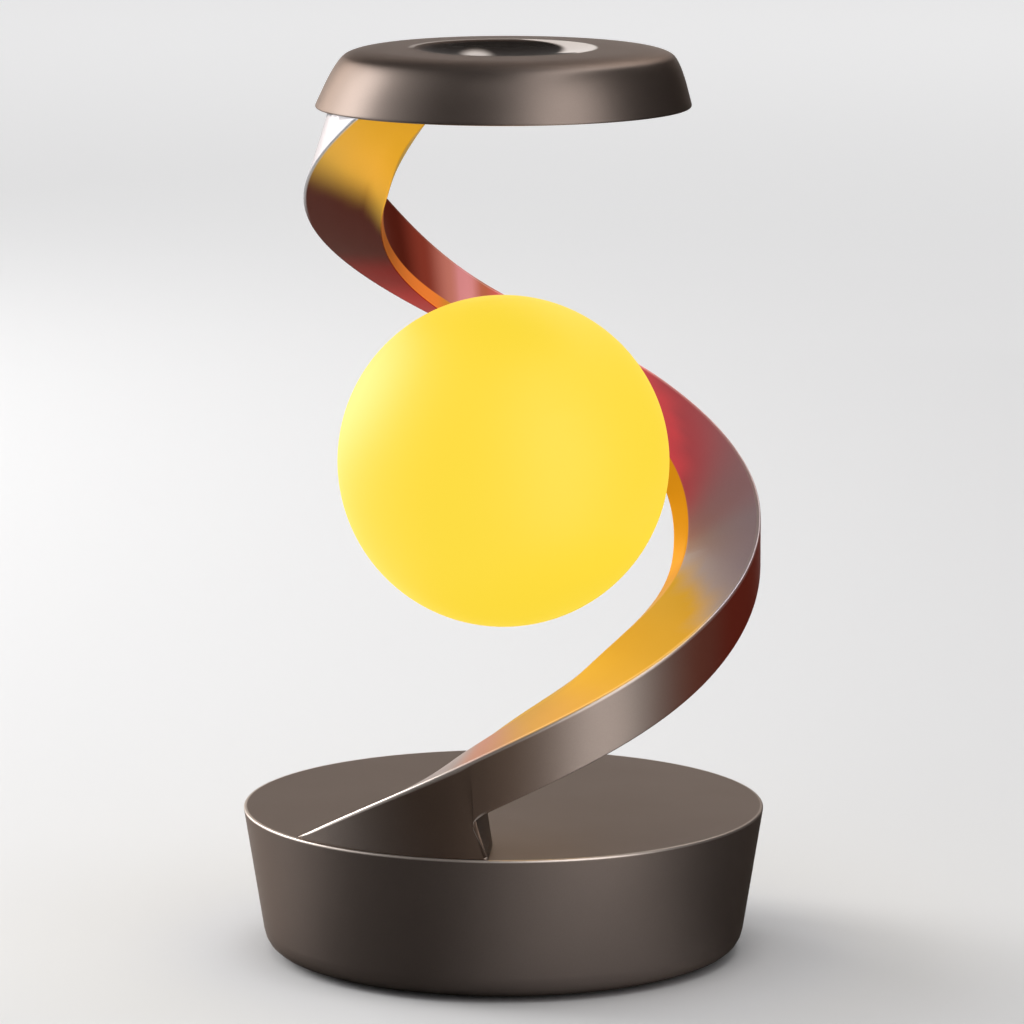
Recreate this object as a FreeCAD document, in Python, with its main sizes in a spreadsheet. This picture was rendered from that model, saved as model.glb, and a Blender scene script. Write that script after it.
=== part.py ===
import FreeCAD, Part
import Sketcher
import math
import os
from FreeCAD import Placement, Rotation, Vector

# Magnetic balance lamp: a round weighted base, a twisted wedge-section arm that climbs one turn
# round a glowing globe, and a domed cap on the arm's upper end. The globe hangs by a magnet on a
# seat in the arm's inner edge. Millimetres, +Z up, origin at the middle of the underside.

doc = FreeCAD.newDocument("balance_lamp")
sheet = doc.addObject("Spreadsheet::Sheet", "sizes")

# Driving sizes, each with the alias that the sub-parts are bound to.
SIZES = [
    ("base_radius", 79.0, "base at its top rim"),
    ("base_height", 44.6, "top face of the base above the table"),
    ("base_foot_radius", 72.0, "base wall produced down to its lower edge"),
    ("base_lower_round", 6.0, "rounding of the lower outer edge"),
    ("base_rim_round", 0.7, "rounding of the top rim"),
    ("base_wall", 2.6, "base side wall"),
    ("base_roof", 3.0, "base top wall"),
    ("plate_rim", 4.0, "flat ring of the base's underside round the bottom plate"),
    ("plate_thickness", 2.6, "bottom plate"),
    ("plate_gap", 0.2, "gap round a cover in its opening"),
    ("feet_height", 1.0, "rubber pads"),
    ("feet_radius", 6.0, "rubber pads"),
    ("feet_circle", 36.0, "radius of the circle of pads"),
    ("feet_turn", 60.0, "azimuth of the first pad"),
    ("feet_count", 4, "pads"),
    ("boss_radius", 4.0, "screw bosses of the bottom plate"),
    ("boss_inset", 7.0, "circle of the bosses inside the edge of the bottom plate"),
    ("boss_turn", 45.0, "azimuth of the first boss"),
    ("boss_count", 4, "bosses"),
    ("screw_radius", 1.5, "M3 shank"),
    ("screw_head_radius", 2.8, "M3 head"),
    ("screw_head_height", 1.6, "M3 head"),
    ("screw_bite", 8.0, "length of an M3 shank in its boss"),
    ("small_screw_radius", 1.0, "M2 shank"),
    ("small_head_radius", 1.9, "M2 head"),
    ("small_head_height", 1.2, "M2 head"),
    ("small_screw_bite", 5.0, "length of an M2 shank in its boss"),
    ("hole_gap", 0.06, "a hole is this much larger in radius than what it holds"),
    ("ballast_clear", 5.0, "steel ballast ring inside the screw bosses"),
    ("ballast_inner", 9.0, "steel ballast ring"),
    ("ballast_height", 11.5, "steel ballast ring"),
    ("ballast_lip", 1.6, "wall on the bottom plate round the ballast ring"),
    ("ballast_lip_height", 5.0, "that wall, and the hub in the ring's bore"),
    ("board_half_width", 22.0, "main circuit board"),
    ("board_front", 17.0, "front edge of the main board behind the axis"),
    ("board_gap", 0.5, "edge of the main board from the inside of the base wall"),
    ("board_tongue", 2.5, "tongue of the main board wider than the power socket, to each side"),
    ("board_thickness", 1.6, "circuit boards"),
    ("board_level", 19.6, "upper face of the main board above the table"),
    ("board_screw_side", 3.5, "main board screws from its side edges"),
    ("board_screw_front", 4.0, "main board front screws from its front edge"),
    ("board_screw_rear", 17.0, "main board rear screws from its rear edge"),
    ("standoff_radius", 2.6, "posts that the boards hang from"),
    ("chip_width", 8.0, "driver chip"),
    ("chip_height", 1.6, "driver chip"),
    ("coil_width", 8.0, "coil"),
    ("coil_height", 5.0, "coil"),
    ("coil_side", 10.0, "coil and capacitor beside the board's middle line"),
    ("coil_place", 12.0, "coil and capacitor behind the board's front edge"),
    ("capacitor_radius", 4.0, "capacitor"),
    ("capacitor_height", 9.0, "capacitor"),
    ("cable_socket_width", 8.0, "socket for the arm's cable"),
    ("cable_socket_depth", 5.0, "socket for the arm's cable"),
    ("cable_socket_height", 6.0, "socket for the arm's cable"),
    ("inlet_width", 9.0, "power socket shell"),
    ("inlet_height", 3.3, "power socket shell"),
    ("inlet_depth", 8.2, "power socket shell"),
    ("inlet_tongue", 0.8, "power socket contact tongue"),
    ("inlet_recess", 0.8, "socket mouth inside the base wall"),
    ("button_angle", 76.0, "azimuth of the power button"),
    ("button_radius", 4.0, "power button"),
    ("button_proud", 1.6, "power button proud of the base wall at its middle"),
    ("button_travel", 1.2, "press of the power button"),
    ("button_flange", 1.4, "collar that keeps the button in, wider by this"),
    ("button_gap", 0.1, "running gap of the button in its hole"),
    ("button_clear", 0.3, "button's collar above the main board"),
    ("switch_size", 6.0, "tactile switch body"),
    ("arm_height", 212.5, "cap underside above the base top"),
    ("arm_wall", 2.2, "arm shell"),
    ("arm_cover", 2.0, "thickness of the cover in the arm's underside"),
    ("arm_cover_ledge", 4.0, "underside kept by the shell next to the inner edge"),
    ("arm_headroom", 1.4, "hollow above the inner edge of the cover"),
    ("arm_bevel", 4.5, "height of the bevel on the arm's inner edge"),
    ("arm_seam", 0.12, "gap round the arm cover"),
    ("arm_root_end", -95.0, "azimuth where the arm leaves the base"),
    ("arm_head_start", 176.0, "azimuth where the arm turns solid below the cap"),
    ("arm_foot_inner", 56.0, "inner radius of the arm's foot on the base"),
    ("arm_feather", 0.4, "thickness of the arm's thin end on the base"),
    ("arm_screw_inset", 10.0, "two screws into the arm's foot, inside the base rim"),
    ("arm_screw_low", -127.0, "azimuth of the first foot screw"),
    ("arm_screw_high", -117.5, "azimuth of the second foot screw"),
    ("cable_radius", 1.2, "cable inside the arm"),
    ("cable_bore", 2.1, "cable way through the arm's solid ends"),
    ("cable_end", 8.0, "upright end of the cable in the cap"),
    ("cable_lead", 15.0, "azimuth from the cable's hole in the base to the arm's hollow"),
    ("cable_lean", 5.0, "that hole nearer to the axis than the arm's hollow"),
    ("cable_drop", 4.0, "start of that hole below the base's roof"),
    ("cable_ease", 9.0, "azimuth that the cable takes to turn into and out of the hollow"),
    ("cable_runs", 16, "straight runs of the cable along the hollow"),
    ("head_screw_turn", 3.0, "azimuth of the head screws past the middle of the arm's end"),
    ("head_screw_outer", 12.6, "outer head screw from the arm's outer edge"),
    ("head_screw_inner", 19.0, "inner head screw from the arm's outer edge"),
    ("head_cable_turn", 3.0, "azimuth of the cable hole short of the middle of the arm's end"),
    ("head_cable_inset", 11.0, "cable hole from the arm's outer edge"),
    ("globe_radius", 50.0, "glowing globe"),
    ("globe_wall", 2.2, "globe shell"),
    ("neck_radius", 12.5, "bore of the globe's neck"),
    ("neck_wall", 2.5, "globe's neck"),
    ("neck_depth", 9.0, "globe's neck, measured inwards from the globe's surface"),
    ("socket_flange", 2.2, "rim of the globe's socket beyond the neck bore"),
    ("socket_rim", 1.4, "thickness of that rim"),
    ("coupler_radius", 7.0, "turning coupler in the socket"),
    ("coupler_length", 5.0, "turning coupler"),
    ("coupler_collar", 1.2, "collar that keeps the coupler in, wider by this"),
    ("coupler_collar_depth", 1.4, "collar along the axis"),
    ("running_gap", 0.08, "coupler in its bearing"),
    ("magnet_radius", 4.8, "magnets of the coupler and the seat"),
    ("magnet_length", 3.0, "magnets of the coupler and the seat"),
    ("magnet_bore", 2.6, "hole in each magnet for the contacts"),
    ("seat_angle", 41.0, "azimuth of the seat on the arm"),
    ("seat_radius", 8.0, "seat housing"),
    ("seat_gap", 0.3, "between the seat and the coupler"),
    ("seat_bite", 6.0, "depth of the seat in the arm's inner edge"),
    ("seat_tail_radius", 4.0, "rounded tail of the seat housing"),
    ("contact_radius", 0.6, "contact studs"),
    ("contact_pitch", 1.9, "outer contact stud from the axis"),
    ("post_radius", 4.5, "light post in the globe"),
    ("post_flange_depth", 2.0, "flange of the light post"),
    ("post_screw_count", 3, "screws through that flange"),
    ("light_board_radius", 11.5, "board of light sources at the globe's middle"),
    ("light_board_place", 7.0, "its face from the globe's centre"),
    ("light_size", 2.6, "one light source"),
    ("light_circle", 8.0, "radius of the circle of light sources"),
    ("light_count", 8, "light sources"),
    ("cap_radius", 56.4, "cap at its lower rim"),
    ("cap_height", 17.6, "cap"),
    ("cap_shoulder_radius", 51.9, "cap wall at the shoulder"),
    ("cap_shoulder_height", 12.4, "shoulder above the lower rim"),
    ("cap_crown_radius", 47.5, "where the crown turns flat"),
    ("cap_crown_drop", 0.4, "fall of the crown from the dish to there"),
    ("cap_shoulder_round", 8.0, "rounding of the shoulder's two edges"),
    ("cap_wall", 3.2, "cap shell at its rim"),
    ("cap_roof", 2.6, "cap shell on top"),
    ("cap_rim_round", 1.0, "rounding of the lower rim"),
    ("dish_radius", 27.0, "finger dish in the crown"),
    ("dish_depth", 1.9, "finger dish"),
    ("cap_plate_thickness", 2.4, "plate in the cap's underside"),
    ("cap_boss_circle", 45.0, "radius of the cap's screw circle"),
    ("cap_boss_angle", 20.0, "azimuth of the first cap screw"),
    ("cap_boss_count", 3, "cap screws"),
    ("touch_radius", 14.0, "touch electrode under the dish"),
    ("touch_thickness", 0.4, "touch electrode"),
    ("touch_board_half", 21.0, "half length of the touch board"),
    ("touch_board_width", 14.0, "touch board"),
    ("touch_post", 17.5, "touch board screws from the axis"),
    ("touch_post_height", 3.0, "posts of the touch board"),
]

# Nine cross-sections of the arm, in order along the climb: azimuth, share of the way from the cap
# radius out to the base radius, share of the arm height at the lower outer edge, height of the
# outer wall, inward lean of the outer wall, radius of the inner edge beyond the globe's, rise of
# the inner edge above the lower outer edge, run of the inner bevel.
STATION_NAMES = ("azimuth", "spread", "climb", "wall", "lean", "clear", "rise", "bevel")
STATIONS = [
    (-142, 1.00, -0.10, 21.2, 0.0, 0.0, 16.7, 2.0),
    (-95, 1.00, 0.06, 18.0, 0.0, -3.0, 17.5, 4.0),
    (-48, 1.00, 0.20, 18.5, 0.0, -5.0, 10.5, 5.0),
    (0, 0.93, 0.36, 15.5, 0.0, 0.9, 0.0, 4.5),
    (47, 0.69, 0.50, 16.5, 0.0, 5.5, 0.5, 4.5),
    (94, 0.42, 0.62, 19.0, 6.5, 2.4, 2.0, 2.5),
    (141, 0.23, 0.753, 25.0, 12.0, -6.9, 1.0, 0.0),
    (188, 0.14, 0.896, 20.5, 7.0, -17.4, 0.0, -1.0),
    (235, -0.02, 1.045, 17.0, 0.0, -29.1, -3.5, 1.0),
]

row = 0
for alias, value, meaning in SIZES:
    row += 1
    sheet.set("A%d" % row, meaning)
    sheet.set("B%d" % row, str(value))
    sheet.setAlias("B%d" % row, alias)
for number, station in enumerate(STATIONS):
    for name, value in zip(STATION_NAMES, station):
        row += 1
        sheet.set("A%d" % row, "arm section %d, %s" % (number, name))
        sheet.set("B%d" % row, str(value))
        sheet.setAlias("B%d" % row, "station_%d_%s" % (number, name))
doc.recompute()


def size(expression):
    """Number that an expression of the sheet's aliases gives."""
    return float(sheet.evalExpression(bound(expression)))


def bound(expression):
    """The same expression with every alias written as a reference to the sheet."""
    words = []
    word = ""
    for letter in str(expression) + " ":
        if letter.isalnum() or letter in "_.":
            word += letter
            continue
        words.append("sizes." + word if word in ALIASES else word)
        words.append(letter)
        word = ""
    return "".join(words).strip()


ALIASES = set(entry[0] for entry in SIZES)


# ---- the ways of making a sub-part ------------------------------------------------------------

def new_body(name):
    body = doc.addObject("PartDesign::Body", name)
    body.Label = name
    return body


def new_sketch(body, name, plane, offset="0"):
    """Sketch on one of the body's own planes, moved along the plane's normal."""
    sketch = body.newObject("Sketcher::SketchObject", name)
    support = [feature for feature in body.Origin.OriginFeatures if feature.Role == plane][0]
    sketch.AttachmentSupport = [(support, "")]
    sketch.MapMode = "FlatFace"
    sketch.setExpression("AttachmentOffset.Base.z", bound(offset))
    return sketch


def fix(sketch, constraint, expression):
    """Add a constraint and bind its value to the sheet."""
    index = sketch.addConstraint(constraint)
    sketch.setExpression("Constraints[%d]" % index, bound(expression))


def draw_outline(sketch, corners):
    """Closed outline of straight lines through corners given as pairs of expressions."""
    points = [Vector(size(across), size(up), 0) for across, up in corners]
    first = sketch.GeometryCount
    count = len(points)
    for index in range(count):
        sketch.addGeometry(Part.LineSegment(points[index], points[(index + 1) % count]), False)
    for index in range(count):
        line = first + index
        following = first + (index + 1) % count
        sketch.addConstraint(Sketcher.Constraint("Coincident", line, 2, following, 1))
        across, up = corners[index]
        fix(sketch, Sketcher.Constraint("DistanceX", -1, 1, line, 1, points[index].x), across)
        fix(sketch, Sketcher.Constraint("DistanceY", -1, 1, line, 1, points[index].y), up)


def draw_box(sketch, left, right, low, high):
    draw_outline(sketch, [(left, low), (right, low), (right, high), (left, high)])


def draw_circles(sketch, centres, radius):
    """One circle round each centre, a pair of expressions."""
    for across, up in centres:
        centre = Vector(size(across), size(up), 0)
        circle = sketch.addGeometry(Part.Circle(centre, Vector(0, 0, 1), size(radius)), False)
        fix(sketch, Sketcher.Constraint("DistanceX", -1, 1, circle, 3, centre.x), across)
        fix(sketch, Sketcher.Constraint("DistanceY", -1, 1, circle, 3, centre.y), up)
        fix(sketch, Sketcher.Constraint("Radius", circle, size(radius)), radius)


def revolve(body, name, corners, kind="PartDesign::Revolution"):
    """Turn an outline, given as radius and height, about the body's own Z axis."""
    sketch = new_sketch(body, name + "_outline", "XZ_Plane")
    draw_outline(sketch, corners)
    turned = body.newObject(kind, name)
    turned.Profile = sketch
    turned.ReferenceAxis = (sketch, ["V_Axis"])
    turned.Angle = 360
    doc.recompute()
    return turned


def raise_pad(body, name, low, length, draw, *shape):
    """Pad what draw puts in a level sketch at height low."""
    sketch = new_sketch(body, name + "_sketch", "XY_Plane", low)
    draw(sketch, *shape)
    pad = body.newObject("PartDesign::Pad", name)
    pad.Profile = sketch
    pad.setExpression("Length", bound(length))
    doc.recompute()
    return pad


def sink_pocket(body, name, low, length, draw, *shape):
    """Cut upwards from height low what draw puts in a level sketch there."""
    sketch = new_sketch(body, name + "_sketch", "XY_Plane", low)
    draw(sketch, *shape)
    before = body.Shape.Volume
    pocket = body.newObject("PartDesign::Pocket", name)
    pocket.Profile = sketch
    pocket.Reversed = True
    pocket.setExpression("Length", bound(length))
    doc.recompute()
    if body.Shape.Volume >= before:
        raise ValueError(name + " cuts nothing")
    return pocket


def ring_edges(shape, radius, height):
    """Names of the round edges of a radius at a height."""
    names = []
    for index, edge in enumerate(shape.Edges):
        curve = edge.Curve
        if isinstance(curve, Part.Circle) and abs(curve.Radius - radius) < 0.05:
            if abs(curve.Center.z - height) < 0.05:
                names.append("Edge%d" % (index + 1))
    return names


def round_ring(body, name, radius, height, amount):
    """Fillet the round edge of a radius at a height, both given as expressions."""
    base = body.Tip
    fillet = body.newObject("PartDesign::Fillet", name)
    fillet.Base = (base, ring_edges(base.Shape, size(radius), size(height)))
    fillet.setExpression("Radius", bound(amount))
    doc.recompute()
    return fillet


def boolean(kind, name, base, tool):
    result = doc.addObject(kind, name)
    result.Base = base
    result.Tool = tool
    result.Label = name
    doc.recompute()
    return result


def cylinder(name, radius, height, placement=None):
    rod = doc.addObject("Part::Cylinder", name)
    rod.setExpression("Radius", bound(radius))
    rod.setExpression("Height", bound(height))
    if placement:
        rod.Placement = placement
    return rod


def gather(name, pieces):
    group = doc.addObject("Part::Compound", name)
    group.Links = pieces
    doc.recompute()
    return group


def polar(radius, azimuth):
    """Pair of expressions for a place at a radius and an azimuth in degrees."""
    return ("(%s) * cos(%s)" % (radius, azimuth), "(%s) * sin(%s)" % (radius, azimuth))


def ring_of(radius, turn, count):
    """Evenly spaced places on a circle, the first at azimuth turn, as pairs of expressions."""
    step = 360.0 / size(count)
    return [polar(radius, "%s + %s" % (turn, number * step)) for number in range(int(size(count)))]


def turned_frame(azimuth, radius, height):
    """Placement whose Z axis points outwards at an azimuth, starting at a radius and height."""
    angle = math.radians(azimuth)
    outward = Vector(math.cos(angle), math.sin(angle), 0)
    start = outward * radius + Vector(0, 0, height)
    upright = Rotation(Vector(0, 0, 1), azimuth)
    return Placement(start, upright.multiply(Rotation(Vector(0, 1, 0), 90)))


def screw_set(name, places, seat, radius, head_radius, head_height, length, upwards=True):
    """Group of like screws with their heads against height seat, shanks up or down."""
    body = new_body(name)
    if upwards:
        head_low = "(%s) - (%s)" % (seat, head_height)
        shank_low = seat
    else:
        head_low = seat
        shank_low = "(%s) - (%s)" % (seat, length)
    raise_pad(body, name + "_heads", head_low, head_height, draw_circles, places, head_radius)
    raise_pad(body, name + "_shanks", shank_low, length, draw_circles, places, radius)
    return body


# ---- the arm's shape ----------------------------------------------------------------------------

def station_values(name):
    return [size("sizes.station_%d_%s" % (number, name)) for number in range(len(STATIONS))]


def smooth(places, values, place):
    """Monotone cubic through the values, so that nothing overshoots a station."""
    steps = [(values[i + 1] - values[i]) / (places[i + 1] - places[i]) for i in range(len(places) - 1)]
    slopes = [steps[0]]
    for before, after in zip(steps, steps[1:]):
        slopes.append(0.0 if before * after <= 0 else 2 * before * after / (before + after))
    slopes.append(steps[-1])
    index = 0
    while index < len(places) - 2 and place > places[index + 1]:
        index += 1
    width = places[index + 1] - places[index]
    part = (place - places[index]) / width
    return ((1 + 2 * part) * (1 - part) ** 2 * values[index]
            + part * (1 - part) ** 2 * width * slopes[index]
            + part ** 2 * (3 - 2 * part) * values[index + 1]
            + part ** 2 * (part - 1) * width * slopes[index + 1])


ARM = {name: station_values(name) for name in STATION_NAMES}


def arm_value(name, azimuth):
    return smooth(ARM["azimuth"], ARM[name], azimuth)


def arm_corners(azimuth):
    """Corners of the arm's section as (radius, height): low outer, top outer, upper and lower
    inner edge."""
    cap_radius = size("cap_radius")
    radius = cap_radius + (size("base_radius") - cap_radius) * arm_value("spread", azimuth)
    low = size("base_height") + size("arm_height") * arm_value("climb", azimuth)
    nose = size("globe_radius") + arm_value("clear", azimuth)
    nose_low = low + arm_value("rise", azimuth)
    return [
        Vector(radius, low, 0),
        Vector(radius - arm_value("lean", azimuth), low + arm_value("wall", azimuth), 0),
        Vector(nose + arm_value("bevel", azimuth), nose_low + size("arm_bevel"), 0),
        Vector(nose, nose_low, 0),
    ]


def meet(first, first_way, second, second_way):
    """Point where two lines of the section's plane cross."""
    cross = first_way.x * second_way.y - first_way.y * second_way.x
    apart = second - first
    along = (apart.x * second_way.y - apart.y * second_way.x) / cross
    return first + first_way * along


def inward(start, end, amount):
    """A wall line of the section set inwards, as a point and a direction."""
    way = (end - start).normalize()
    return start + Vector(-way.y, way.x, 0) * amount, way


def channel_corners(azimuth):
    """Section of the open channel: the solid section less the hollow and the cover's slot."""
    low, top, nose_top, nose = arm_corners(azimuth)
    wall = size("arm_wall")
    outer_point, outer_way = inward(low, top, wall)
    roof_point, roof_way = inward(top, nose_top, wall)
    under = (low - nose).normalize()
    upright = Vector(-under.y, under.x, 0)
    corner = meet(roof_point, roof_way, outer_point, outer_way)
    clear = meet(nose + upright * size("arm_cover + arm_headroom"), under, roof_point, roof_way)
    ledge = nose + under * max(size("arm_cover_ledge"), (clear - nose).dot(under))
    ledge_roof = meet(ledge, upright, roof_point, roof_way)
    lip = meet(outer_point, outer_way, nose, under)
    return [low, top, nose_top, nose, ledge, ledge_roof, corner, lip]


def cover_corners(azimuth):
    """Section of the cover that closes the channel from below."""
    low, top, nose_top, nose, ledge, ledge_roof, corner, lip = channel_corners(azimuth)
    under = (low - nose).normalize()
    upright = Vector(-under.y, under.x, 0)
    seam = size("arm_seam")
    outer_point, outer_way = inward(low, top, size("arm_wall") + seam)
    floor_point = nose + upright * size("arm_cover")
    return [
        ledge + under * seam,
        meet(outer_point, outer_way, nose, under),
        meet(outer_point, outer_way, floor_point, under),
        ledge + under * seam + upright * size("arm_cover"),
    ]


def root_corners(azimuth):
    """Section of the solid foot between the arm's top face and the base."""
    floor = size("base_height")
    thin = size("arm_feather")
    low, top, nose_top, nose = arm_corners(azimuth)
    foot = size("arm_foot_inner")
    return [
        Vector(low.x, floor, 0),
        Vector(top.x, max(top.y, floor + thin), 0),
        Vector(nose_top.x, max(nose_top.y, floor + thin), 0),
        Vector(nose.x, max(nose.y, floor + thin / 2), 0),
        Vector(foot, floor, 0),
    ]


def section_wire(corners, azimuth):
    """Closed wire of a section stood up in the plane of its azimuth."""
    angle = math.radians(azimuth)
    points = [Vector(p.x * math.cos(angle), p.x * math.sin(angle), p.y) for p in corners]
    return Part.makePolygon(points + points[:1])


def climb_loft(corners_at, start, end, steps):
    """Solid lofted through evenly spaced sections between two azimuths."""
    azimuths = [start + (end - start) * step / steps for step in range(steps + 1)]
    return Part.makeLoft([section_wire(corners_at(a), a) for a in azimuths], True, False)


def in_space(azimuth, radius, height):
    angle = math.radians(azimuth)
    return Vector(radius * math.cos(angle), radius * math.sin(angle), height)


def hollow_middle(azimuth):
    """Middle of the arm's hollow, where the cable lies."""
    low, top, nose_top, nose, ledge, ledge_roof, corner, lip = channel_corners(azimuth)
    cover_lip, cover_top = cover_corners(azimuth)[2:]
    sides = [(corner - cover_lip).Length, (cover_lip - cover_top).Length, (cover_top - corner).Length]
    middle = (cover_top * sides[0] + corner * sides[1] + cover_lip * sides[2]) * (1.0 / sum(sides))
    return in_space(azimuth, middle.x, middle.y)


ROOT_START = ARM["azimuth"][0]
ROOT_END = size("arm_root_end")
HEAD_START = size("arm_head_start")
HEAD_END = ARM["azimuth"][-1]
CAP_LEVEL = size("base_height + arm_height")


def seat_edge():
    """Middle of the inner bevel at the seat's azimuth, as (radius, height)."""
    low, top, nose_top, nose = arm_corners(size("seat_angle"))
    return (nose_top + nose) * 0.5


GLOBE_LEVEL = seat_edge().y
SEAT_FRAME = turned_frame(size("seat_angle"), 0, GLOBE_LEVEL)
SEAT_FACE = math.sqrt(size("globe_radius") ** 2 - size("coupler_radius") ** 2)
SEAT_TAIL = seat_edge().x + size("seat_bite")


# ---- base -----------------------------------------------------------------------------------------

PLATE_RADIUS = "(base_foot_radius - base_lower_round - plate_rim)"
PLATE_LEVEL = "feet_height"
PLATE_TOP = "feet_height + plate_thickness"
CAVITY_TOP = "base_height - base_roof"
WALL_SLOPE = "(base_radius - base_foot_radius) / (base_height - feet_height)"
BOSS_CIRCLE = "(" + PLATE_RADIUS + " - boss_inset)"
PLATE_SCREWS = ring_of(BOSS_CIRCLE, "boss_turn", "boss_count")
BALLAST_OUTER = "(" + BOSS_CIRCLE + " - boss_radius - ballast_clear)"
BOARD_LOW = "board_level - board_thickness"
BUTTON_LEVEL = "(board_level + button_radius + button_flange + button_clear)"


def outer_radius_at(height):
    """Expression of the base's outer radius at a height."""
    return "base_foot_radius + (%s - feet_height) * %s" % (height, WALL_SLOPE)


def board_reach(half_width):
    """Expression of how far back a strip of the main board goes before it meets the base wall."""
    inside = "(%s - base_wall)" % outer_radius_at("(" + BOARD_LOW + ")")
    return "(sqrt(%s ^ 2 - (%s) ^ 2) - board_gap)" % (inside, half_width)


BOARD_REAR = board_reach("board_half_width")
TONGUE_HALF = "(inlet_width / 2 + board_tongue)"
BOARD_SCREWS = [
    (side + "(board_half_width - board_screw_side)", depth)
    for side in ("", "-")
    for depth in ("board_front + board_screw_front", BOARD_REAR + " - board_screw_rear")
]


def foot_screw_places():
    circle = "base_radius - arm_screw_inset"
    return [polar(circle, "arm_screw_low"), polar(circle, "arm_screw_high")]


def cable_way():
    """Straight bore through the base's roof and the arm's foot, up into the arm's hollow."""
    top = hollow_middle(ROOT_END)
    radius = math.hypot(top.x, top.y) - size("cable_lean")
    bottom = in_space(ROOT_END - size("cable_lead"), radius, size(CAVITY_TOP + " - cable_drop"))
    return bottom, top


def make_base_housing():
    """Turned shell, open below, with bosses for the bottom plate and posts for the board."""
    body = new_body("base_housing_body")
    revolve(body, "base_shell", [
        ("0", "base_height"),
        ("base_radius", "base_height"),
        ("base_foot_radius", "feet_height"),
        (PLATE_RADIUS + " + plate_gap", "feet_height"),
        (PLATE_RADIUS + " + plate_gap", PLATE_TOP),
        (outer_radius_at("(" + PLATE_TOP + " + 1)") + " - base_wall", PLATE_TOP + " + 1"),
        (outer_radius_at("(" + CAVITY_TOP + ")") + " - base_wall", CAVITY_TOP),
        ("0", CAVITY_TOP),
    ])
    round_ring(body, "base_lower_edge", "base_foot_radius", "feet_height", "base_lower_round")
    round_ring(body, "base_rim_edge", "base_radius", "base_height", "base_rim_round")
    raise_pad(body, "plate_bosses", PLATE_TOP, CAVITY_TOP + " - (" + PLATE_TOP + ")",
              draw_circles, PLATE_SCREWS, "boss_radius")
    raise_pad(body, "board_posts", "board_level", CAVITY_TOP + " - board_level",
              draw_circles, BOARD_SCREWS, "standoff_radius")
    sink_pocket(body, "boss_holes", PLATE_TOP, "screw_bite + 1",
                draw_circles, PLATE_SCREWS, "screw_radius + hole_gap")
    sink_pocket(body, "post_holes", "board_level", "small_screw_bite + 1",
                draw_circles, BOARD_SCREWS, "small_screw_radius + hole_gap")
    sink_pocket(body, "foot_screw_holes", CAVITY_TOP, "base_roof",
                draw_circles, foot_screw_places(), "screw_radius + hole_gap")
    inlet = doc.addObject("Part::Box", "inlet_opening")
    inlet.setExpression("Length", bound("inlet_width + 2 * plate_gap"))
    inlet.setExpression("Width", bound("base_radius"))
    inlet.setExpression("Height", bound("inlet_height + plate_gap + 0.05"))
    inlet.Placement = Placement(
        Vector(-size("inlet_width / 2 + plate_gap"), size("base_radius / 2"), size("board_level - 0.05")),
        Rotation())
    inside = size(outer_radius_at(BUTTON_LEVEL) + " - 3 * base_wall")
    hole = cylinder("button_hole", "button_radius + button_gap", "6 * base_wall",
                    turned_frame(size("button_angle"), inside, size(BUTTON_LEVEL)))
    bottom, top = cable_way()
    drill = cylinder("cable_hole", "cable_bore", str((top - bottom).Length),
                     Placement(bottom, Rotation(Vector(0, 0, 1), top - bottom)))
    return boolean("Part::Cut", "base_housing", body, gather("base_cuts", [inlet, hole, drill]))


def draw_ring(sketch, outer, inner):
    draw_circles(sketch, [("0", "0")], outer)
    draw_circles(sketch, [("0", "0")], inner)


def make_bottom_plate():
    """Disc with a hub and a round wall that keep the ballast ring in place."""
    body = new_body("base_bottom_plate")
    raise_pad(body, "plate_disc", PLATE_LEVEL, "plate_thickness", draw_circles, [("0", "0")], PLATE_RADIUS)
    raise_pad(body, "ballast_hub", PLATE_TOP, "ballast_lip_height", draw_circles, [("0", "0")],
              "ballast_inner - plate_gap")
    raise_pad(body, "ballast_wall", PLATE_TOP, "ballast_lip_height", draw_ring,
              BALLAST_OUTER + " + plate_gap + ballast_lip", BALLAST_OUTER + " + plate_gap")
    sink_pocket(body, "plate_sinks", PLATE_LEVEL, "screw_head_height",
                draw_circles, PLATE_SCREWS, "screw_head_radius + 0.2")
    sink_pocket(body, "plate_holes", PLATE_LEVEL, "plate_thickness",
                draw_circles, PLATE_SCREWS, "screw_radius + hole_gap")
    return body


def make_feet():
    body = new_body("rubber_feet")
    places = ring_of("feet_circle", "feet_turn", "feet_count")
    raise_pad(body, "pads", "0", "feet_height", draw_circles, places, "feet_radius")
    return body


def make_ballast():
    body = new_body("ballast_ring")
    revolve(body, "ring", [
        ("ballast_inner", PLATE_TOP),
        (BALLAST_OUTER, PLATE_TOP),
        (BALLAST_OUTER, PLATE_TOP + " + ballast_height"),
        ("ballast_inner", PLATE_TOP + " + ballast_height"),
    ])
    return body


def make_bottom_screws():
    return screw_set("bottom_screws", PLATE_SCREWS, "feet_height + screw_head_height", "screw_radius",
                     "screw_head_radius", "screw_head_height",
                     "plate_thickness - screw_head_height + screw_bite")


def make_main_board():
    """Board with a tongue at the rear that carries the power socket out to the wall."""
    body = new_body("main_board")
    raise_pad(body, "board", BOARD_LOW, "board_thickness", draw_box,
              "-board_half_width", "board_half_width", "board_front", BOARD_REAR)
    raise_pad(body, "tongue", BOARD_LOW, "board_thickness", draw_box,
              "-" + TONGUE_HALF, TONGUE_HALF, BOARD_REAR + " - 1", board_reach(TONGUE_HALF))
    sink_pocket(body, "board_holes", BOARD_LOW, "board_thickness",
                draw_circles, BOARD_SCREWS, "small_screw_radius + hole_gap")
    return body


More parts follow.
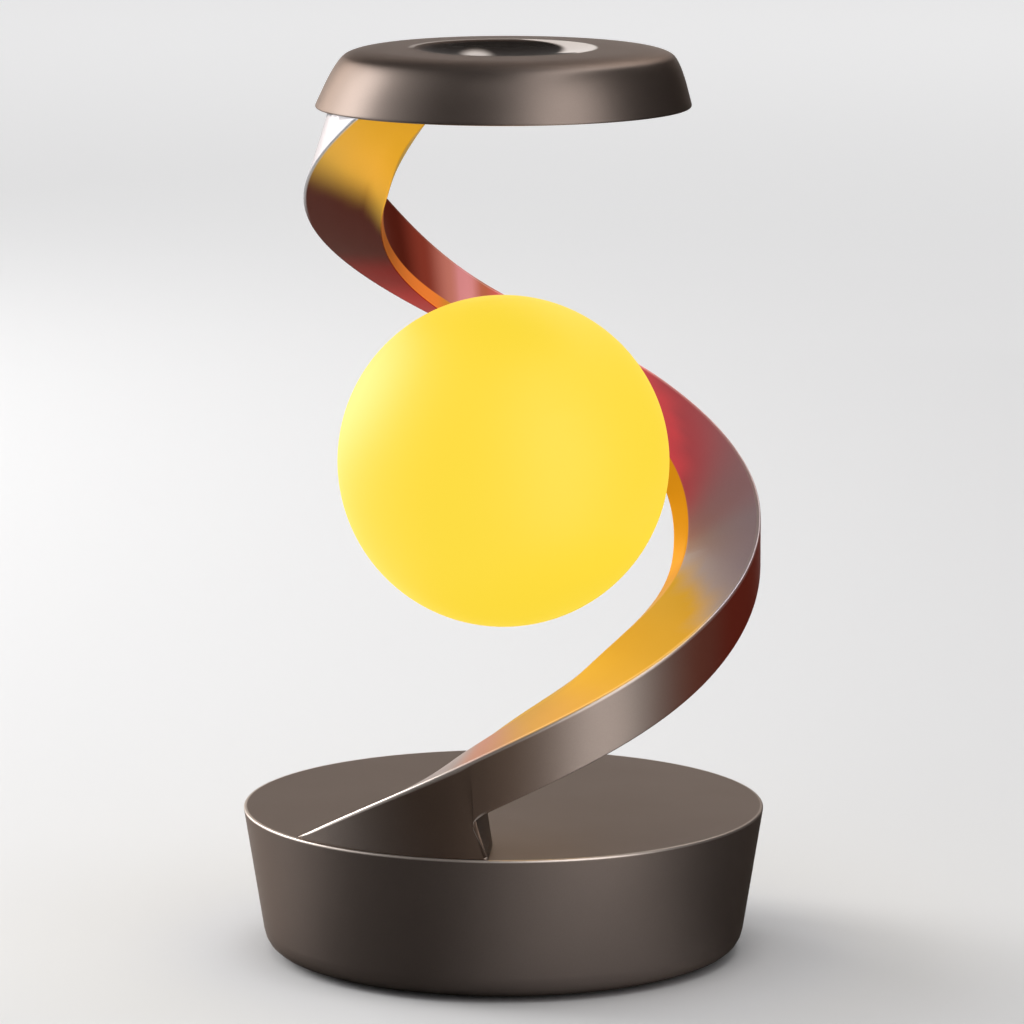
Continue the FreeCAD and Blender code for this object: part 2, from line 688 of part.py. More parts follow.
def make_board_parts():
    """Chips, coil, capacitor and cable socket on the upper face of the main board."""
    coil_middle = "(board_front + coil_place)"
    body = new_body("board_components")
    raise_pad(body, "driver_chip", "board_level", "chip_height", draw_box, "-chip_width / 2",
              "chip_width / 2", coil_middle + " + chip_width", coil_middle + " + 2 * chip_width")
    raise_pad(body, "coil", "board_level", "coil_height", draw_box, "-coil_side - coil_width / 2",
              "-coil_side + coil_width / 2", coil_middle + " - coil_width / 2",
              coil_middle + " + coil_width / 2")
    raise_pad(body, "capacitor", "board_level", "capacitor_height", draw_circles,
              [("coil_side", coil_middle)], "capacitor_radius")
    raise_pad(body, "cable_socket", "board_level", "cable_socket_height", draw_box,
              "-cable_socket_width / 2", "cable_socket_width / 2", "board_front + board_gap",
              "board_front + board_gap + cable_socket_depth")
    return body


def make_board_screws():
    return screw_set("board_screws", BOARD_SCREWS, BOARD_LOW, "small_screw_radius", "small_head_radius",
                     "small_head_height", "board_thickness + small_screw_bite")


def make_power_inlet():
    """Metal socket shell on the board, its mouth just inside the base wall, with a tongue."""
    mouth = size(outer_radius_at("(board_level + inlet_height / 2)") + " - inlet_recess")
    body = new_body("power_inlet")
    raise_pad(body, "socket_shell", "0", "inlet_depth", draw_box,
              "-inlet_width / 2", "inlet_width / 2", "-inlet_height / 2", "inlet_height / 2")
    shell = body.Tip
    corners = []
    for index, edge in enumerate(shell.Shape.Edges):
        if abs(edge.Vertexes[0].Z - edge.Vertexes[-1].Z) > 1:
            corners.append("Edge%d" % (index + 1))
    fillet = body.newObject("PartDesign::Fillet", "socket_corners")
    fillet.Base = (shell, corners)
    fillet.setExpression("Radius", bound("inlet_height * 0.45"))
    doc.recompute()
    sink_pocket(body, "socket_mouth", "1.6", "inlet_depth", draw_box,
                "-inlet_width / 2 + 1", "inlet_width / 2 - 1",
                "-inlet_height / 2 + 0.4", "inlet_height / 2 - 0.4")
    raise_pad(body, "socket_tongue", "1.6", "inlet_depth - 3", draw_box,
              "-inlet_width / 2 + 2", "inlet_width / 2 - 2", "-inlet_tongue / 2", "inlet_tongue / 2")
    body.Placement = Placement(
        Vector(0, mouth - size("inlet_depth"), size("board_level + inlet_height / 2")),
        Rotation(Vector(1, 0, 0), -90))
    return body


def button_places():
    """Radii along the button's axis: its outer face, the collar's outer face, its inner face."""
    wall = size(outer_radius_at(BUTTON_LEVEL))
    edges = ["(%s %s (button_radius + button_flange))" % (BUTTON_LEVEL, side) for side in "-+"]
    inner = min(size(outer_radius_at(edge) + " - base_wall") for edge in edges)
    half = size("button_radius + button_flange")
    collar = math.sqrt(inner ** 2 - half ** 2) - 0.15
    return wall + size("button_proud"), collar, collar - 1.0


def make_power_button():
    face, collar, back = button_places()
    body = new_body("power_button")
    revolve(body, "button", [
        ("0", str(back)),
        ("button_radius + button_flange", str(back)),
        ("button_radius + button_flange", str(collar)),
        ("button_radius", str(collar)),
        ("button_radius", "%s - 0.6" % face),
        ("button_radius - 0.6", str(face)),
        ("0", str(face)),
    ])
    body.Placement = turned_frame(size("button_angle"), 0, size(BUTTON_LEVEL))
    return body


def make_button_switch():
    """Tactile switch on the board, its stem a little behind the button's collar."""
    face, collar, back = button_places()
    stem = "%s - button_travel - 0.15" % back
    body = new_body("button_switch")
    raise_pad(body, "switch_body", stem + " - 5", "3.6", draw_box,
              "board_level - " + BUTTON_LEVEL, "board_level - " + BUTTON_LEVEL + " + switch_size * 1.3",
              "-switch_size / 2", "switch_size / 2")
    raise_pad(body, "switch_stem", stem + " - 1.4", "1.4", draw_circles, [("0", "0")], "1.7")
    flip = Rotation(Vector(0, 0, 1), 180)
    frame = turned_frame(size("button_angle"), 0, size(BUTTON_LEVEL))
    body.Placement = frame.multiply(Placement(Vector(0, 0, 0), flip))
    return body


# ---- arm ------------------------------------------------------------------------------------------

def seat_tool(gap):
    """Space that the seat housing takes in the arm, with a gap all round."""
    face = SEAT_FACE + size("seat_gap")
    body_end = seat_edge().x
    radius = size("seat_radius") + gap
    tail = size("seat_tail_radius") + gap
    profile = Part.makePolygon([
        Vector(0, 0, face - 1), Vector(radius, 0, face - 1), Vector(radius, 0, body_end),
        Vector(tail, 0, SEAT_TAIL + gap), Vector(0, 0, SEAT_TAIL + gap), Vector(0, 0, face - 1),
    ])
    tool = Part.Face(profile).revolve(Vector(0, 0, 0), Vector(0, 0, 1), 360)
    tool.Placement = SEAT_FRAME
    return tool


def head_screw_places():
    """Places, in the cap's underside plane, of the two screws into the arm's solid head."""
    azimuth = head_middle_azimuth() + size("head_screw_turn")
    edge = arm_corners(azimuth)[0].x
    insets = ("head_screw_outer", "head_screw_inner")
    return [polar(str(edge - size(inset)), str(azimuth)) for inset in insets]


def head_middle_azimuth():
    """Azimuth where the arm's head is cut by the cap halfway up its outer wall."""
    azimuth = HEAD_START
    while azimuth < HEAD_END:
        low, top, nose_top, nose = arm_corners(azimuth)
        if (low.y + top.y) / 2 >= CAP_LEVEL:
            break
        azimuth += 0.5
    return azimuth


def make_arm_shell():
    """The twisted arm: a solid foot on the base, a channel that is open below, a solid head
    trimmed level under the cap. All three share their section where they meet."""
    root = climb_loft(root_corners, ROOT_START, ROOT_END, 10)
    channel = climb_loft(channel_corners, ROOT_END, HEAD_START, 20)
    head = climb_loft(arm_corners, HEAD_START, HEAD_END, 6)
    reach = size("base_radius") * 2
    trim = Part.makeBox(2 * reach, 2 * reach, reach, Vector(-reach, -reach, CAP_LEVEL))
    shape = root.fuse([channel, head.cut(trim)]).removeSplitter()
    bottom, top = cable_way()
    way = top - bottom
    bore = Part.makeCylinder(size("cable_bore"), way.Length + 4, bottom, way)
    shape = shape.cut([seat_tool(size("hole_gap")), bore])
    for across, up in foot_screw_places():
        place = Vector(size(across), size(up), size("base_height") - 1)
        depth = size("screw_bite") + 1.5
        shape = shape.cut(Part.makeCylinder(size("screw_radius + hole_gap"), depth, place))
    for across, up in head_screw_places():
        place = Vector(size(across), size(up), CAP_LEVEL + 1)
        depth = size("small_screw_bite") + 1.5
        hole = Part.makeCylinder(size("small_screw_radius + hole_gap"), depth, place, Vector(0, 0, -1))
        shape = shape.cut(hole)
    start, end = head_cable()
    climb = (end - start).normalize()
    bore_radius = size("cable_bore")
    bore_start = start - climb * bore_radius / 2
    bore_length = (end - start).Length + bore_radius * 2
    shape = shape.cut(Part.makeCylinder(bore_radius, bore_length, bore_start, climb))
    return as_node("arm_shell", shape)


def head_cable():
    """Straight cable way from the end of the hollow through the head to the cap."""
    azimuth = head_middle_azimuth() - size("head_cable_turn")
    edge = arm_corners(azimuth)[0].x
    return hollow_middle(HEAD_START), in_space(azimuth, edge - size("head_cable_inset"), CAP_LEVEL)


def make_arm_cover():
    cover = climb_loft(cover_corners, ROOT_END + 0.15, HEAD_START - 0.15, 20)
    return as_node("arm_cover", cover.cut(seat_tool(size("hole_gap"))))


def make_foot_screws():
    return screw_set("arm_foot_screws", foot_screw_places(), CAVITY_TOP, "screw_radius",
                     "screw_head_radius", "screw_head_height", "base_roof + screw_bite")


def bent_tube(points, radius):
    """Round tube along straight runs joined by tangent arcs as large as the runs allow."""
    edges = []
    here = points[0]
    for before, corner, after in zip(points, points[1:], points[2:]):
        into = (corner - before).normalize()
        out = (after - corner).normalize()
        turn = into.getAngle(out)
        shorter = min((corner - before).Length, (after - corner).Length)
        leave = corner - into * shorter * 0.45
        arrive = corner + out * shorter * 0.45
        bend = shorter * 0.45 / math.tan(turn / 2)
        inwards = (out - into).normalize()
        middle = corner + inwards * (bend / math.cos(turn / 2) - bend)
        edges.append(Part.LineSegment(here, leave).toShape())
        edges.append(Part.Arc(leave, middle, arrive).toShape())
        here = arrive
    edges.append(Part.LineSegment(here, points[-1]).toShape())
    path = Part.Wire(edges)
    way = points[1] - points[0]
    ring = Part.Wire([Part.Circle(points[0], way, radius).toShape()])
    tube = path.makePipeShell([ring], True, True)
    return tube


def make_arm_cable():
    """Cable from the main board up through the foot and the arm's hollow to the cap."""
    bottom, top = cable_way()
    start, end = head_cable()
    run = (top - bottom).normalize()
    first = ROOT_END + size("cable_ease")
    last = HEAD_START - size("cable_ease")
    runs = int(size("cable_runs"))
    points = [bottom - run * 2, top]
    points += [hollow_middle(first + (last - first) * step / runs) for step in range(runs + 1)]
    points += [start, end, end + Vector(0, 0, size("cable_end"))]
    return as_node("arm_cable", bent_tube(points, size("cable_radius")))


def as_node(name, shape):
    """Feature for a shape that has no sketch or primitive of its own."""
    node = doc.addObject("Part::Feature", name)
    node.Shape = shape
    node.Label = name
    node.Placement = Placement()
    return node


# ---- seat on the arm --------------------------------------------------------------------------------

SEAT_FRONT = str(SEAT_FACE + size("seat_gap"))


def make_seat_housing():
    """Turned cup in the arm's inner edge, with a thin front wall over the magnet."""
    body = new_body("seat_housing")
    revolve(body, "cup", [
        ("0", SEAT_FRONT),
        ("seat_radius - 0.5", SEAT_FRONT),
        ("seat_radius", SEAT_FRONT + " + 0.5"),
        ("seat_radius", str(seat_edge().x)),
        ("seat_tail_radius", str(SEAT_TAIL)),
        ("0", str(SEAT_TAIL)),
    ])
    revolve(body, "magnet_bore", [
        ("0", SEAT_FRONT + " + 0.6"),
        ("magnet_radius + hole_gap", SEAT_FRONT + " + 0.6"),
        ("magnet_radius + hole_gap", SEAT_FRONT + " + 0.6 + magnet_length"),
        ("0", SEAT_FRONT + " + 0.6 + magnet_length"),
    ], "PartDesign::Groove")
    sink_pocket(body, "stud_holes", str(SEAT_FACE - 1), "3", draw_circles, stud_places(),
                "contact_radius + hole_gap")
    body.Placement = SEAT_FRAME
    return body


def stud_places():
    return [("0", "0"), ("0", "contact_pitch"), ("0", "-contact_pitch")]


def make_seat_magnet():
    body = new_body("seat_magnet")
    revolve(body, "magnet", [
        ("magnet_bore", SEAT_FRONT + " + 0.6"),
        ("magnet_radius", SEAT_FRONT + " + 0.6"),
        ("magnet_radius", SEAT_FRONT + " + 0.6 + magnet_length"),
        ("magnet_bore", SEAT_FRONT + " + 0.6 + magnet_length"),
    ])
    body.Placement = SEAT_FRAME
    return body


def make_contact_studs():
    """Fixed contact studs in the seat, their domes just short of the coupler's rings."""
    body = new_body("contact_studs")
    raise_pad(body, "studs", SEAT_FRONT + " - seat_gap + 0.05", "seat_gap - 0.05 + 0.6 + magnet_length",
              draw_circles, stud_places(), "contact_radius")
    body.Placement = SEAT_FRAME
    return body


# ---- globe ------------------------------------------------------------------------------------------

COUPLER_FACE = str(SEAT_FACE)
NECK_END = "globe_radius - neck_depth"
POST_SEAT = COUPLER_FACE + " - coupler_length - 0.1"


def make_globe_shell():
    """Hollow globe in one piece, with a neck round its opening and a recess for the socket rim."""
    ball = doc.addObject("Part::Sphere", "globe_outside")
    ball.setExpression("Radius", bound("globe_radius"))
    cavity = doc.addObject("Part::Sphere", "globe_inside")
    cavity.setExpression("Radius", bound("globe_radius - globe_wall"))
    hollow = boolean("Part::Cut", "globe_hollow", ball, cavity)
    collar = cylinder("neck_outside", "neck_radius + neck_wall", "neck_depth")
    collar.setExpression("Placement.Base.z", bound(NECK_END))
    neck = boolean("Part::Common", "globe_neck", collar, ball_copy())
    joined = boolean("Part::Fuse", "globe_with_neck", hollow, neck)
    bore = cylinder("neck_bore", "neck_radius", "neck_depth + 1")
    bore.setExpression("Placement.Base.z", bound(NECK_END + " - 0.5"))
    recess = cylinder("rim_recess", "neck_radius + socket_flange", "neck_depth")
    recess.setExpression("Placement.Base.z", bound(rim_floor()))
    cutters = doc.addObject("Part::MultiFuse", "globe_cutters")
    cutters.Shapes = [bore, recess]
    doc.recompute()
    shell = boolean("Part::Cut", "globe_shell", joined, cutters)
    shell.Placement = SEAT_FRAME
    return shell


def ball_copy():
    ball = doc.addObject("Part::Sphere", "globe_outside_again")
    ball.setExpression("Radius", bound("globe_radius"))
    return ball


def rim_floor():
    """Level of the ledge under the socket's rim, below the globe's surface there."""
    edge = math.sqrt(size("globe_radius") ** 2 - size("neck_radius + socket_flange") ** 2)
    return str(edge - size("socket_rim"))


def make_globe_socket():
    """Socket turned to the globe's curve, with the coupler's bearing through it."""
    gap = "plate_gap / 2"
    rim_radius = "(neck_radius + socket_flange - plate_gap / 2)"
    edge = math.sqrt(size("globe_radius") ** 2 - size(rim_radius) ** 2)
    mid_radius = (size(rim_radius) + size("coupler_radius")) / 2
    middle = math.sqrt(size("globe_radius") ** 2 - mid_radius ** 2)
    collar_top = "%s - coupler_length + coupler_collar_depth + 0.1" % COUPLER_FACE
    body = new_body("globe_socket")
    revolve(body, "socket", [
        ("coupler_radius + running_gap", COUPLER_FACE),
        (str(mid_radius), str(middle)),
        (rim_radius, str(edge)),
        (rim_radius, rim_floor()),
        ("neck_radius - " + gap, rim_floor()),
        ("neck_radius - " + gap, POST_SEAT),
        ("coupler_radius + coupler_collar + 2 * running_gap", POST_SEAT),
        ("coupler_radius + coupler_collar + 2 * running_gap", collar_top),
        ("coupler_radius + running_gap", collar_top),
    ])
    sink_pocket(body, "post_screw_holes", POST_SEAT, "2.6", draw_circles, post_screws(),
                "small_screw_radius * 0.7 + hole_gap")
    body.Placement = SEAT_FRAME
    return body


def post_screws():
    ring = "(coupler_radius + coupler_collar + neck_radius) / 2"
    return ring_of(ring, "0", "post_screw_count")


def make_coupler():
    """Steel cup that turns in the socket and carries the globe's magnet."""
    low = COUPLER_FACE + " - coupler_length"
    body = new_body("coupler_cup")
    revolve(body, "coupler", [
        ("0", low),
        ("coupler_radius + coupler_collar", low),
        ("coupler_radius + coupler_collar", low + " + coupler_collar_depth"),
        ("coupler_radius", low + " + coupler_collar_depth"),
        ("coupler_radius", COUPLER_FACE + " - 0.3"),
        ("coupler_radius - 0.3", COUPLER_FACE),
        ("magnet_radius + hole_gap", COUPLER_FACE),
        ("magnet_radius + hole_gap", COUPLER_FACE + " - magnet_length - 0.4"),
        ("0", COUPLER_FACE + " - magnet_length - 0.4"),
    ])
    body.Placement = SEAT_FRAME
    return body


def make_coupler_magnet():
    body = new_body("coupler_magnet")
    revolve(body, "magnet", [
        ("magnet_bore", COUPLER_FACE + " - magnet_length - 0.4"),
        ("magnet_radius", COUPLER_FACE + " - magnet_length - 0.4"),
        ("magnet_radius", COUPLER_FACE + " - 0.4"),
        ("magnet_bore", COUPLER_FACE + " - 0.4"),
    ])
    body.Placement = SEAT_FRAME
    return body


def make_contact_rings():
    """Middle contact and round contact of the coupler, on an insulating face disc."""
    body = new_body("contact_rings")
    revolve(body, "face_disc", [
        ("0", COUPLER_FACE + " - 0.4"),
        ("magnet_radius", COUPLER_FACE + " - 0.4"),
        ("magnet_radius", COUPLER_FACE),
        ("contact_pitch + 2 * contact_radius", COUPLER_FACE),
        ("contact_pitch + 2 * contact_radius", COUPLER_FACE + " - 0.1"),
        ("0", COUPLER_FACE + " - 0.1"),
    ])
    body.Placement = SEAT_FRAME
    return body


def make_light_post():
    """Heat-spreading post from the socket to the globe's middle."""
    board_back = "light_board_place + board_thickness"
    body = new_body("light_post")
    revolve(body, "post", [
        ("0", board_back),
        ("post_radius", board_back),
        ("post_radius", POST_SEAT + " - post_flange_depth"),
        ("neck_radius - plate_gap", POST_SEAT + " - post_flange_depth"),
        ("neck_radius - plate_gap", POST_SEAT),
        ("0", POST_SEAT),
    ])
    sink_pocket(body, "post_holes", POST_SEAT + " - post_flange_depth", "post_flange_depth",
                draw_circles, post_screws(), "small_screw_radius * 0.7 + hole_gap")
    body.Placement = SEAT_FRAME
    return body


def make_light_board():
    body = new_body("light_board")
    raise_pad(body, "round_board", "light_board_place", "board_thickness",
              draw_circles, [("0", "0")], "light_board_radius")
    body.Placement = SEAT_FRAME
    return body


def make_lights():
    """Ring of light sources on the board's face that looks into the globe."""
    body = new_body("light_sources")
    places = ring_of("light_circle", "0", "light_count") + [("0", "0")]
    raise_pad(body, "sources", "light_board_place - 0.9", "0.9", draw_circles, places, "light_size / 2")
    body.Placement = SEAT_FRAME
    return body


def make_post_screws():
    body = screw_set("post_screws", post_screws(), POST_SEAT + " - post_flange_depth",
                     "small_screw_radius * 0.7", "small_head_radius * 0.7", "small_head_height * 0.7",
                     "post_flange_depth + 2.2")
    body.Placement = SEAT_FRAME
    return body


# ---- cap --------------------------------------------------------------------------------------------

CAP_LOW = "(base_height + arm_height)"
CAP_TOP = CAP_LOW + " + cap_height"
CAP_SCREWS = ring_of("cap_boss_circle", "cap_boss_angle", "cap_boss_count")
TOUCH_SCREWS = [("touch_post", "0"), ("-touch_post", "0")]
TOUCH_ROOF = CAP_TOP + " - dish_depth - cap_roof"
TOUCH_LEVEL = TOUCH_ROOF + " - touch_post_height"


def make_cap_shell():
    """Turned dome, hollow below, with a shallow finger dish in its crown."""
    body = new_body("cap_shell_body")
    crown = CAP_TOP + " - cap_crown_drop"
    shoulder = CAP_LOW + " + cap_shoulder_height"
    revolve(body, "dome", [
        ("0", CAP_TOP),
        ("dish_radius", CAP_TOP),
        ("cap_crown_radius", crown),
        ("cap_shoulder_radius", shoulder),
        ("cap_radius", CAP_LOW),
        ("0", CAP_LOW),
    ])
    round_ring(body, "crown_edge", "cap_crown_radius", crown, "cap_shoulder_round")
    round_ring(body, "shoulder_edge", "cap_shoulder_radius", shoulder, "cap_shoulder_round")
    round_ring(body, "cap_rim_edge", "cap_radius", CAP_LOW, "cap_rim_round")
    inner = "(cap_radius - cap_wall)"
    before = body.Shape.Volume
    revolve(body, "cap_cavity", [
        ("0", CAP_LOW),
        (inner, CAP_LOW),
        (inner, CAP_LOW + " + cap_plate_thickness"),
        (inner + " - 1.5", CAP_LOW + " + cap_plate_thickness"),
        ("cap_shoulder_radius - cap_wall - 1", shoulder + " - 1"),
        ("cap_crown_radius - 2", TOUCH_ROOF),
        ("0", TOUCH_ROOF),
    ], "PartDesign::Groove")
    if body.Shape.Volume >= before:
        raise ValueError("the cap's cavity cuts nothing")
    raise_pad(body, "cap_bosses", CAP_LOW + " + cap_plate_thickness",
              "cap_height - dish_depth - cap_roof - cap_plate_thickness",
              draw_circles, CAP_SCREWS, "boss_radius - 0.6")
    raise_pad(body, "touch_posts", TOUCH_LEVEL, "touch_post_height",
              draw_circles, TOUCH_SCREWS, "standoff_radius")
    sink_pocket(body, "cap_boss_holes", CAP_LOW + " + cap_plate_thickness", "screw_bite + 0.6",
                draw_circles, CAP_SCREWS, "screw_radius + hole_gap")
    sink_pocket(body, "touch_post_holes", TOUCH_LEVEL, "touch_post_height + 0.8",
                draw_circles, TOUCH_SCREWS, "small_screw_radius + hole_gap")
    dish_curve = "((dish_radius ^ 2 + dish_depth ^ 2) / (2 * dish_depth))"
    dish = doc.addObject("Part::Sphere", "finger_dish")
    dish.setExpression("Radius", bound(dish_curve))
    dish.setExpression("Placement.Base.z", bound(CAP_TOP + " - dish_depth + " + dish_curve))
    doc.recompute()
    return boolean("Part::Cut", "cap_shell", body, dish)


def make_cap_plate():
    """Plate that closes the cap from below and stands on the arm's head."""
    body = new_body("cap_bottom_plate")
    raise_pad(body, "cap_disc", CAP_LOW, "cap_plate_thickness", draw_circles, [("0", "0")],
              "cap_radius - cap_wall - plate_gap")
    sink_pocket(body, "cap_sinks", CAP_LOW, "screw_head_height",
                draw_circles, CAP_SCREWS, "screw_head_radius + 0.2")
    sink_pocket(body, "cap_holes", CAP_LOW, "cap_plate_thickness",
                draw_circles, CAP_SCREWS, "screw_radius + hole_gap")
    sink_pocket(body, "head_holes", CAP_LOW, "cap_plate_thickness",
                draw_circles, head_screw_places(), "small_screw_radius + hole_gap")
    start, end = head_cable()
    sink_pocket(body, "cap_cable_hole", CAP_LOW, "cap_plate_thickness",
                draw_circles, [(str(end.x), str(end.y))], "cable_bore * 1.3")
    return body


def make_cap_screws():
    return screw_set("cap_screws", CAP_SCREWS, CAP_LOW + " + screw_head_height", "screw_radius",
                     "screw_head_radius", "screw_head_height",
                     "cap_plate_thickness - screw_head_height + screw_bite")


def make_arm_head_screws():
    return screw_set("arm_head_screws", head_screw_places(), CAP_LOW + " + cap_plate_thickness",
                     "small_screw_radius", "small_head_radius", "small_head_height",
                     "cap_plate_thickness + small_screw_bite", upwards=False)


def make_touch_electrode():
    body = new_body("touch_electrode")
    raise_pad(body, "electrode", TOUCH_ROOF + " - touch_thickness", "touch_thickness",
              draw_circles, [("0", "0")], "touch_radius")
    return body


def make_touch_board():
    body = new_body("touch_board")
    raise_pad(body, "touch_plate", TOUCH_LEVEL + " - board_thickness", "board_thickness", draw_box,
              "-touch_board_half", "touch_board_half", "-touch_board_width / 2", "touch_board_width / 2")
    sink_pocket(body, "touch_holes", TOUCH_LEVEL + " - board_thickness", "board_thickness",
                draw_circles, TOUCH_SCREWS, "small_screw_radius + hole_gap")
    raise_pad(body, "touch_chip", TOUCH_LEVEL, "1.2", draw_box, "-3", "3", "-3", "3")
    return body


def make_touch_screws():
    return screw_set("touch_screws", TOUCH_SCREWS, TOUCH_LEVEL + " - board_thickness",
                     "small_screw_radius", "small_head_radius", "small_head_height",
                     "board_thickness + touch_post_height")


# ---- build, check and write -------------------------------------------------------------------------

nodes = [
    make_base_housing(),
    make_bottom_plate(),
    make_feet(),
    make_ballast(),
    make_bottom_screws(),
    make_main_board(),
    make_board_parts(),
    make_board_screws(),
    make_power_inlet(),
    make_power_button(),
    make_button_switch(),
    make_arm_shell(),
    make_arm_cover(),
    make_foot_screws(),
    make_arm_cable(),
    make_seat_housing(),
    make_seat_magnet(),
    make_contact_studs(),
    make_globe_shell(),
    make_globe_socket(),
    make_coupler(),
    make_coupler_magnet(),
    make_contact_rings(),
    make_light_post(),
    make_light_board(),
    make_lights(),
    make_post_screws(),
    make_cap_shell(),
    make_cap_plate(),
    make_cap_screws(),
    make_arm_head_screws(),
    make_touch_electrode(),
    make_touch_board(),
    make_touch_screws(),
]
doc.recompute()

for item in doc.Objects:
    if "Invalid" in item.State or "Error" in item.State:
        raise ValueError("%s is %s" % (item.Name, item.State))
for node in nodes:
    if node.Shape.isNull() or not node.Shape.isValid() or not node.Shape.Solids:
        raise ValueError(node.Label + " has no valid solid")

os.makedirs("parts", exist_ok=True)
for node in nodes:
    node.Shape.exportStep(os.path.join("parts", node.Label + ".step"))
    print("%-20s %2d solids %10.1f mm3" % (node.Label, len(node.Shape.Solids), node.Shape.Volume))
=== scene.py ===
import math

import bmesh
import bpy
from mathutils import Matrix, Vector


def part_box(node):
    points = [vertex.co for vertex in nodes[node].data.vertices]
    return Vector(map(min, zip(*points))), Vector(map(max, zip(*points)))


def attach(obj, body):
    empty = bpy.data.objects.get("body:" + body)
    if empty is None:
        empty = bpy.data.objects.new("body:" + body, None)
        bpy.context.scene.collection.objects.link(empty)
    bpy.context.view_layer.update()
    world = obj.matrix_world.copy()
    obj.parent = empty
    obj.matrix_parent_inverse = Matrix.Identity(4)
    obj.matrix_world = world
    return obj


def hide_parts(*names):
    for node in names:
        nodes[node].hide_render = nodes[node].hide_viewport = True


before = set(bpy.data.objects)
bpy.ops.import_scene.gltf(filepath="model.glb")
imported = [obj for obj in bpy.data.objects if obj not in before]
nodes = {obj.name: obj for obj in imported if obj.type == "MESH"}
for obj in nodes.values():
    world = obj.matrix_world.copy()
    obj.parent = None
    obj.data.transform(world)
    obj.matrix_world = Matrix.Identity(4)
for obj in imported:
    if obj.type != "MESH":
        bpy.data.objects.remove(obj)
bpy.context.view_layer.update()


# ---- base drum -------------------------------------------------------------------------------------
# A turned and painted drum, wider at its top rim than at its foot. Both edges are rounded, and the
# wall is pierced at the back for the power socket and the power button.

def bend(before, corner, after, cut, steps=5):
    """Points of a rounded corner that starts and ends the length cut away from it."""
    start = corner + (before - corner).normalized() * cut
    end = corner + (after - corner).normalized() * cut
    points = []
    for step in range(steps + 1):
        part = step / steps
        points.append(start * (1 - part) ** 2 + corner * 2 * part * (1 - part) + end * part ** 2)
    return points


def profile(corners, hold=0.0004):
    """Outline through corners given as (radius, height, rounding), with a holding point next to each
    rounded corner so that the faces between stay flat."""
    points = []
    for index, (radius, height, rounding) in enumerate(corners):
        here = Vector((radius, height))
        if rounding == 0 or index in (0, len(corners) - 1):
            points.append(here)
            continue
        before = Vector(corners[index - 1][:2])
        after = Vector(corners[index + 1][:2])
        points.append(here + (before - here).normalized() * (rounding + hold))
        points += bend(before, here, after, rounding)
        points.append(here + (after - here).normalized() * (rounding + hold))
    return points


def shape_of(name, vertices, faces):
    """Smooth mesh object from vertices and faces, with its normals outwards."""
    mesh = bpy.data.meshes.new(name)
    mesh.from_pydata([tuple(v) for v in vertices], [], faces)
    work = bmesh.new()
    work.from_mesh(mesh)
    bmesh.ops.remove_doubles(work, verts=work.verts, dist=1e-6)
    bmesh.ops.recalc_face_normals(work, faces=work.faces)
    for face in work.faces:
        face.smooth = True
    work.to_mesh(mesh)
    work.free()
    piece = bpy.data.objects.new(name, mesh)
    bpy.context.scene.collection.objects.link(piece)
    return piece


def turned(name, points, around=192):
    """Solid of revolution about Z through an outline of (radius, height) points."""
    vertices = []
    faces = []
    for point in points:
        for step in range(around):
            angle = 2 * math.pi * step / around
            vertices.append((point.x * math.cos(angle), point.x * math.sin(angle), point.y))
    for ring in range(len(points) - 1):
        for step in range(around):
            here = ring * around + step
            beside = ring * around + (step + 1) % around
            faces.append((here, beside, beside + around, here + around))
    return shape_of(name, vertices, faces)


def trim(piece, cutter):
    """Cut one piece out of another for good."""
    change = piece.modifiers.new("cut", "BOOLEAN")
    change.object = cutter
    change.operation = "DIFFERENCE"
    change.solver = "EXACT"
    bpy.context.view_layer.update()
    graph = bpy.context.evaluated_depsgraph_get()
    mesh = bpy.data.meshes.new_from_object(piece.evaluated_get(graph))
    piece.modifiers.clear()
    piece.data = mesh
    bpy.data.objects.remove(cutter)


base_low, base_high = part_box("base_housing")
BASE_RADIUS = 0.079
BASE_FOOT_RADIUS = 0.072
BASE_TOP = base_high.z
BASE_FOOT = base_low.z
RIM_ROUND = 0.0008
LOWER_ROUND = 0.0065
RIM_RING_WIDTH = 0.012
WALL_LEVELS = (0.031, 0.0185)
WALL_THICKNESS = 0.0035
ROOF_THICKNESS = 0.003
PLATE_OPENING = 0.0622
PLATE_OPENING_ROUND = 0.0003
PLATE_REBATE = 0.0026
REBATE_SLOPE_TOP = 0.0036
REBATE_SLOPE_WIDTH = 0.004
SHARP_ANGLE = math.radians(35)

WALL_SLOPE = (BASE_RADIUS - BASE_FOOT_RADIUS) / (BASE_TOP - BASE_FOOT)


def wall_ring(height):
    """Plain point of the drum's wall at a height."""
    return (BASE_FOOT_RADIUS + WALL_SLOPE * (height - BASE_FOOT), height, 0)


drum = turned("base_drum", profile([
    (0.0, BASE_TOP, 0),
    (BASE_RADIUS - RIM_RING_WIDTH, BASE_TOP, 0),
    (BASE_RADIUS, BASE_TOP, RIM_ROUND),
    *[wall_ring(level) for level in WALL_LEVELS],
    (BASE_FOOT_RADIUS, BASE_FOOT, LOWER_ROUND),
    (PLATE_OPENING, BASE_FOOT, PLATE_OPENING_ROUND),
    (PLATE_OPENING, BASE_FOOT + PLATE_REBATE, 0),
    (PLATE_OPENING + REBATE_SLOPE_WIDTH, BASE_FOOT + REBATE_SLOPE_TOP, 0),
    (BASE_RADIUS - WALL_THICKNESS, BASE_TOP - ROOF_THICKNESS, 0),
    (0.0, BASE_TOP - ROOF_THICKNESS, 0),
]))

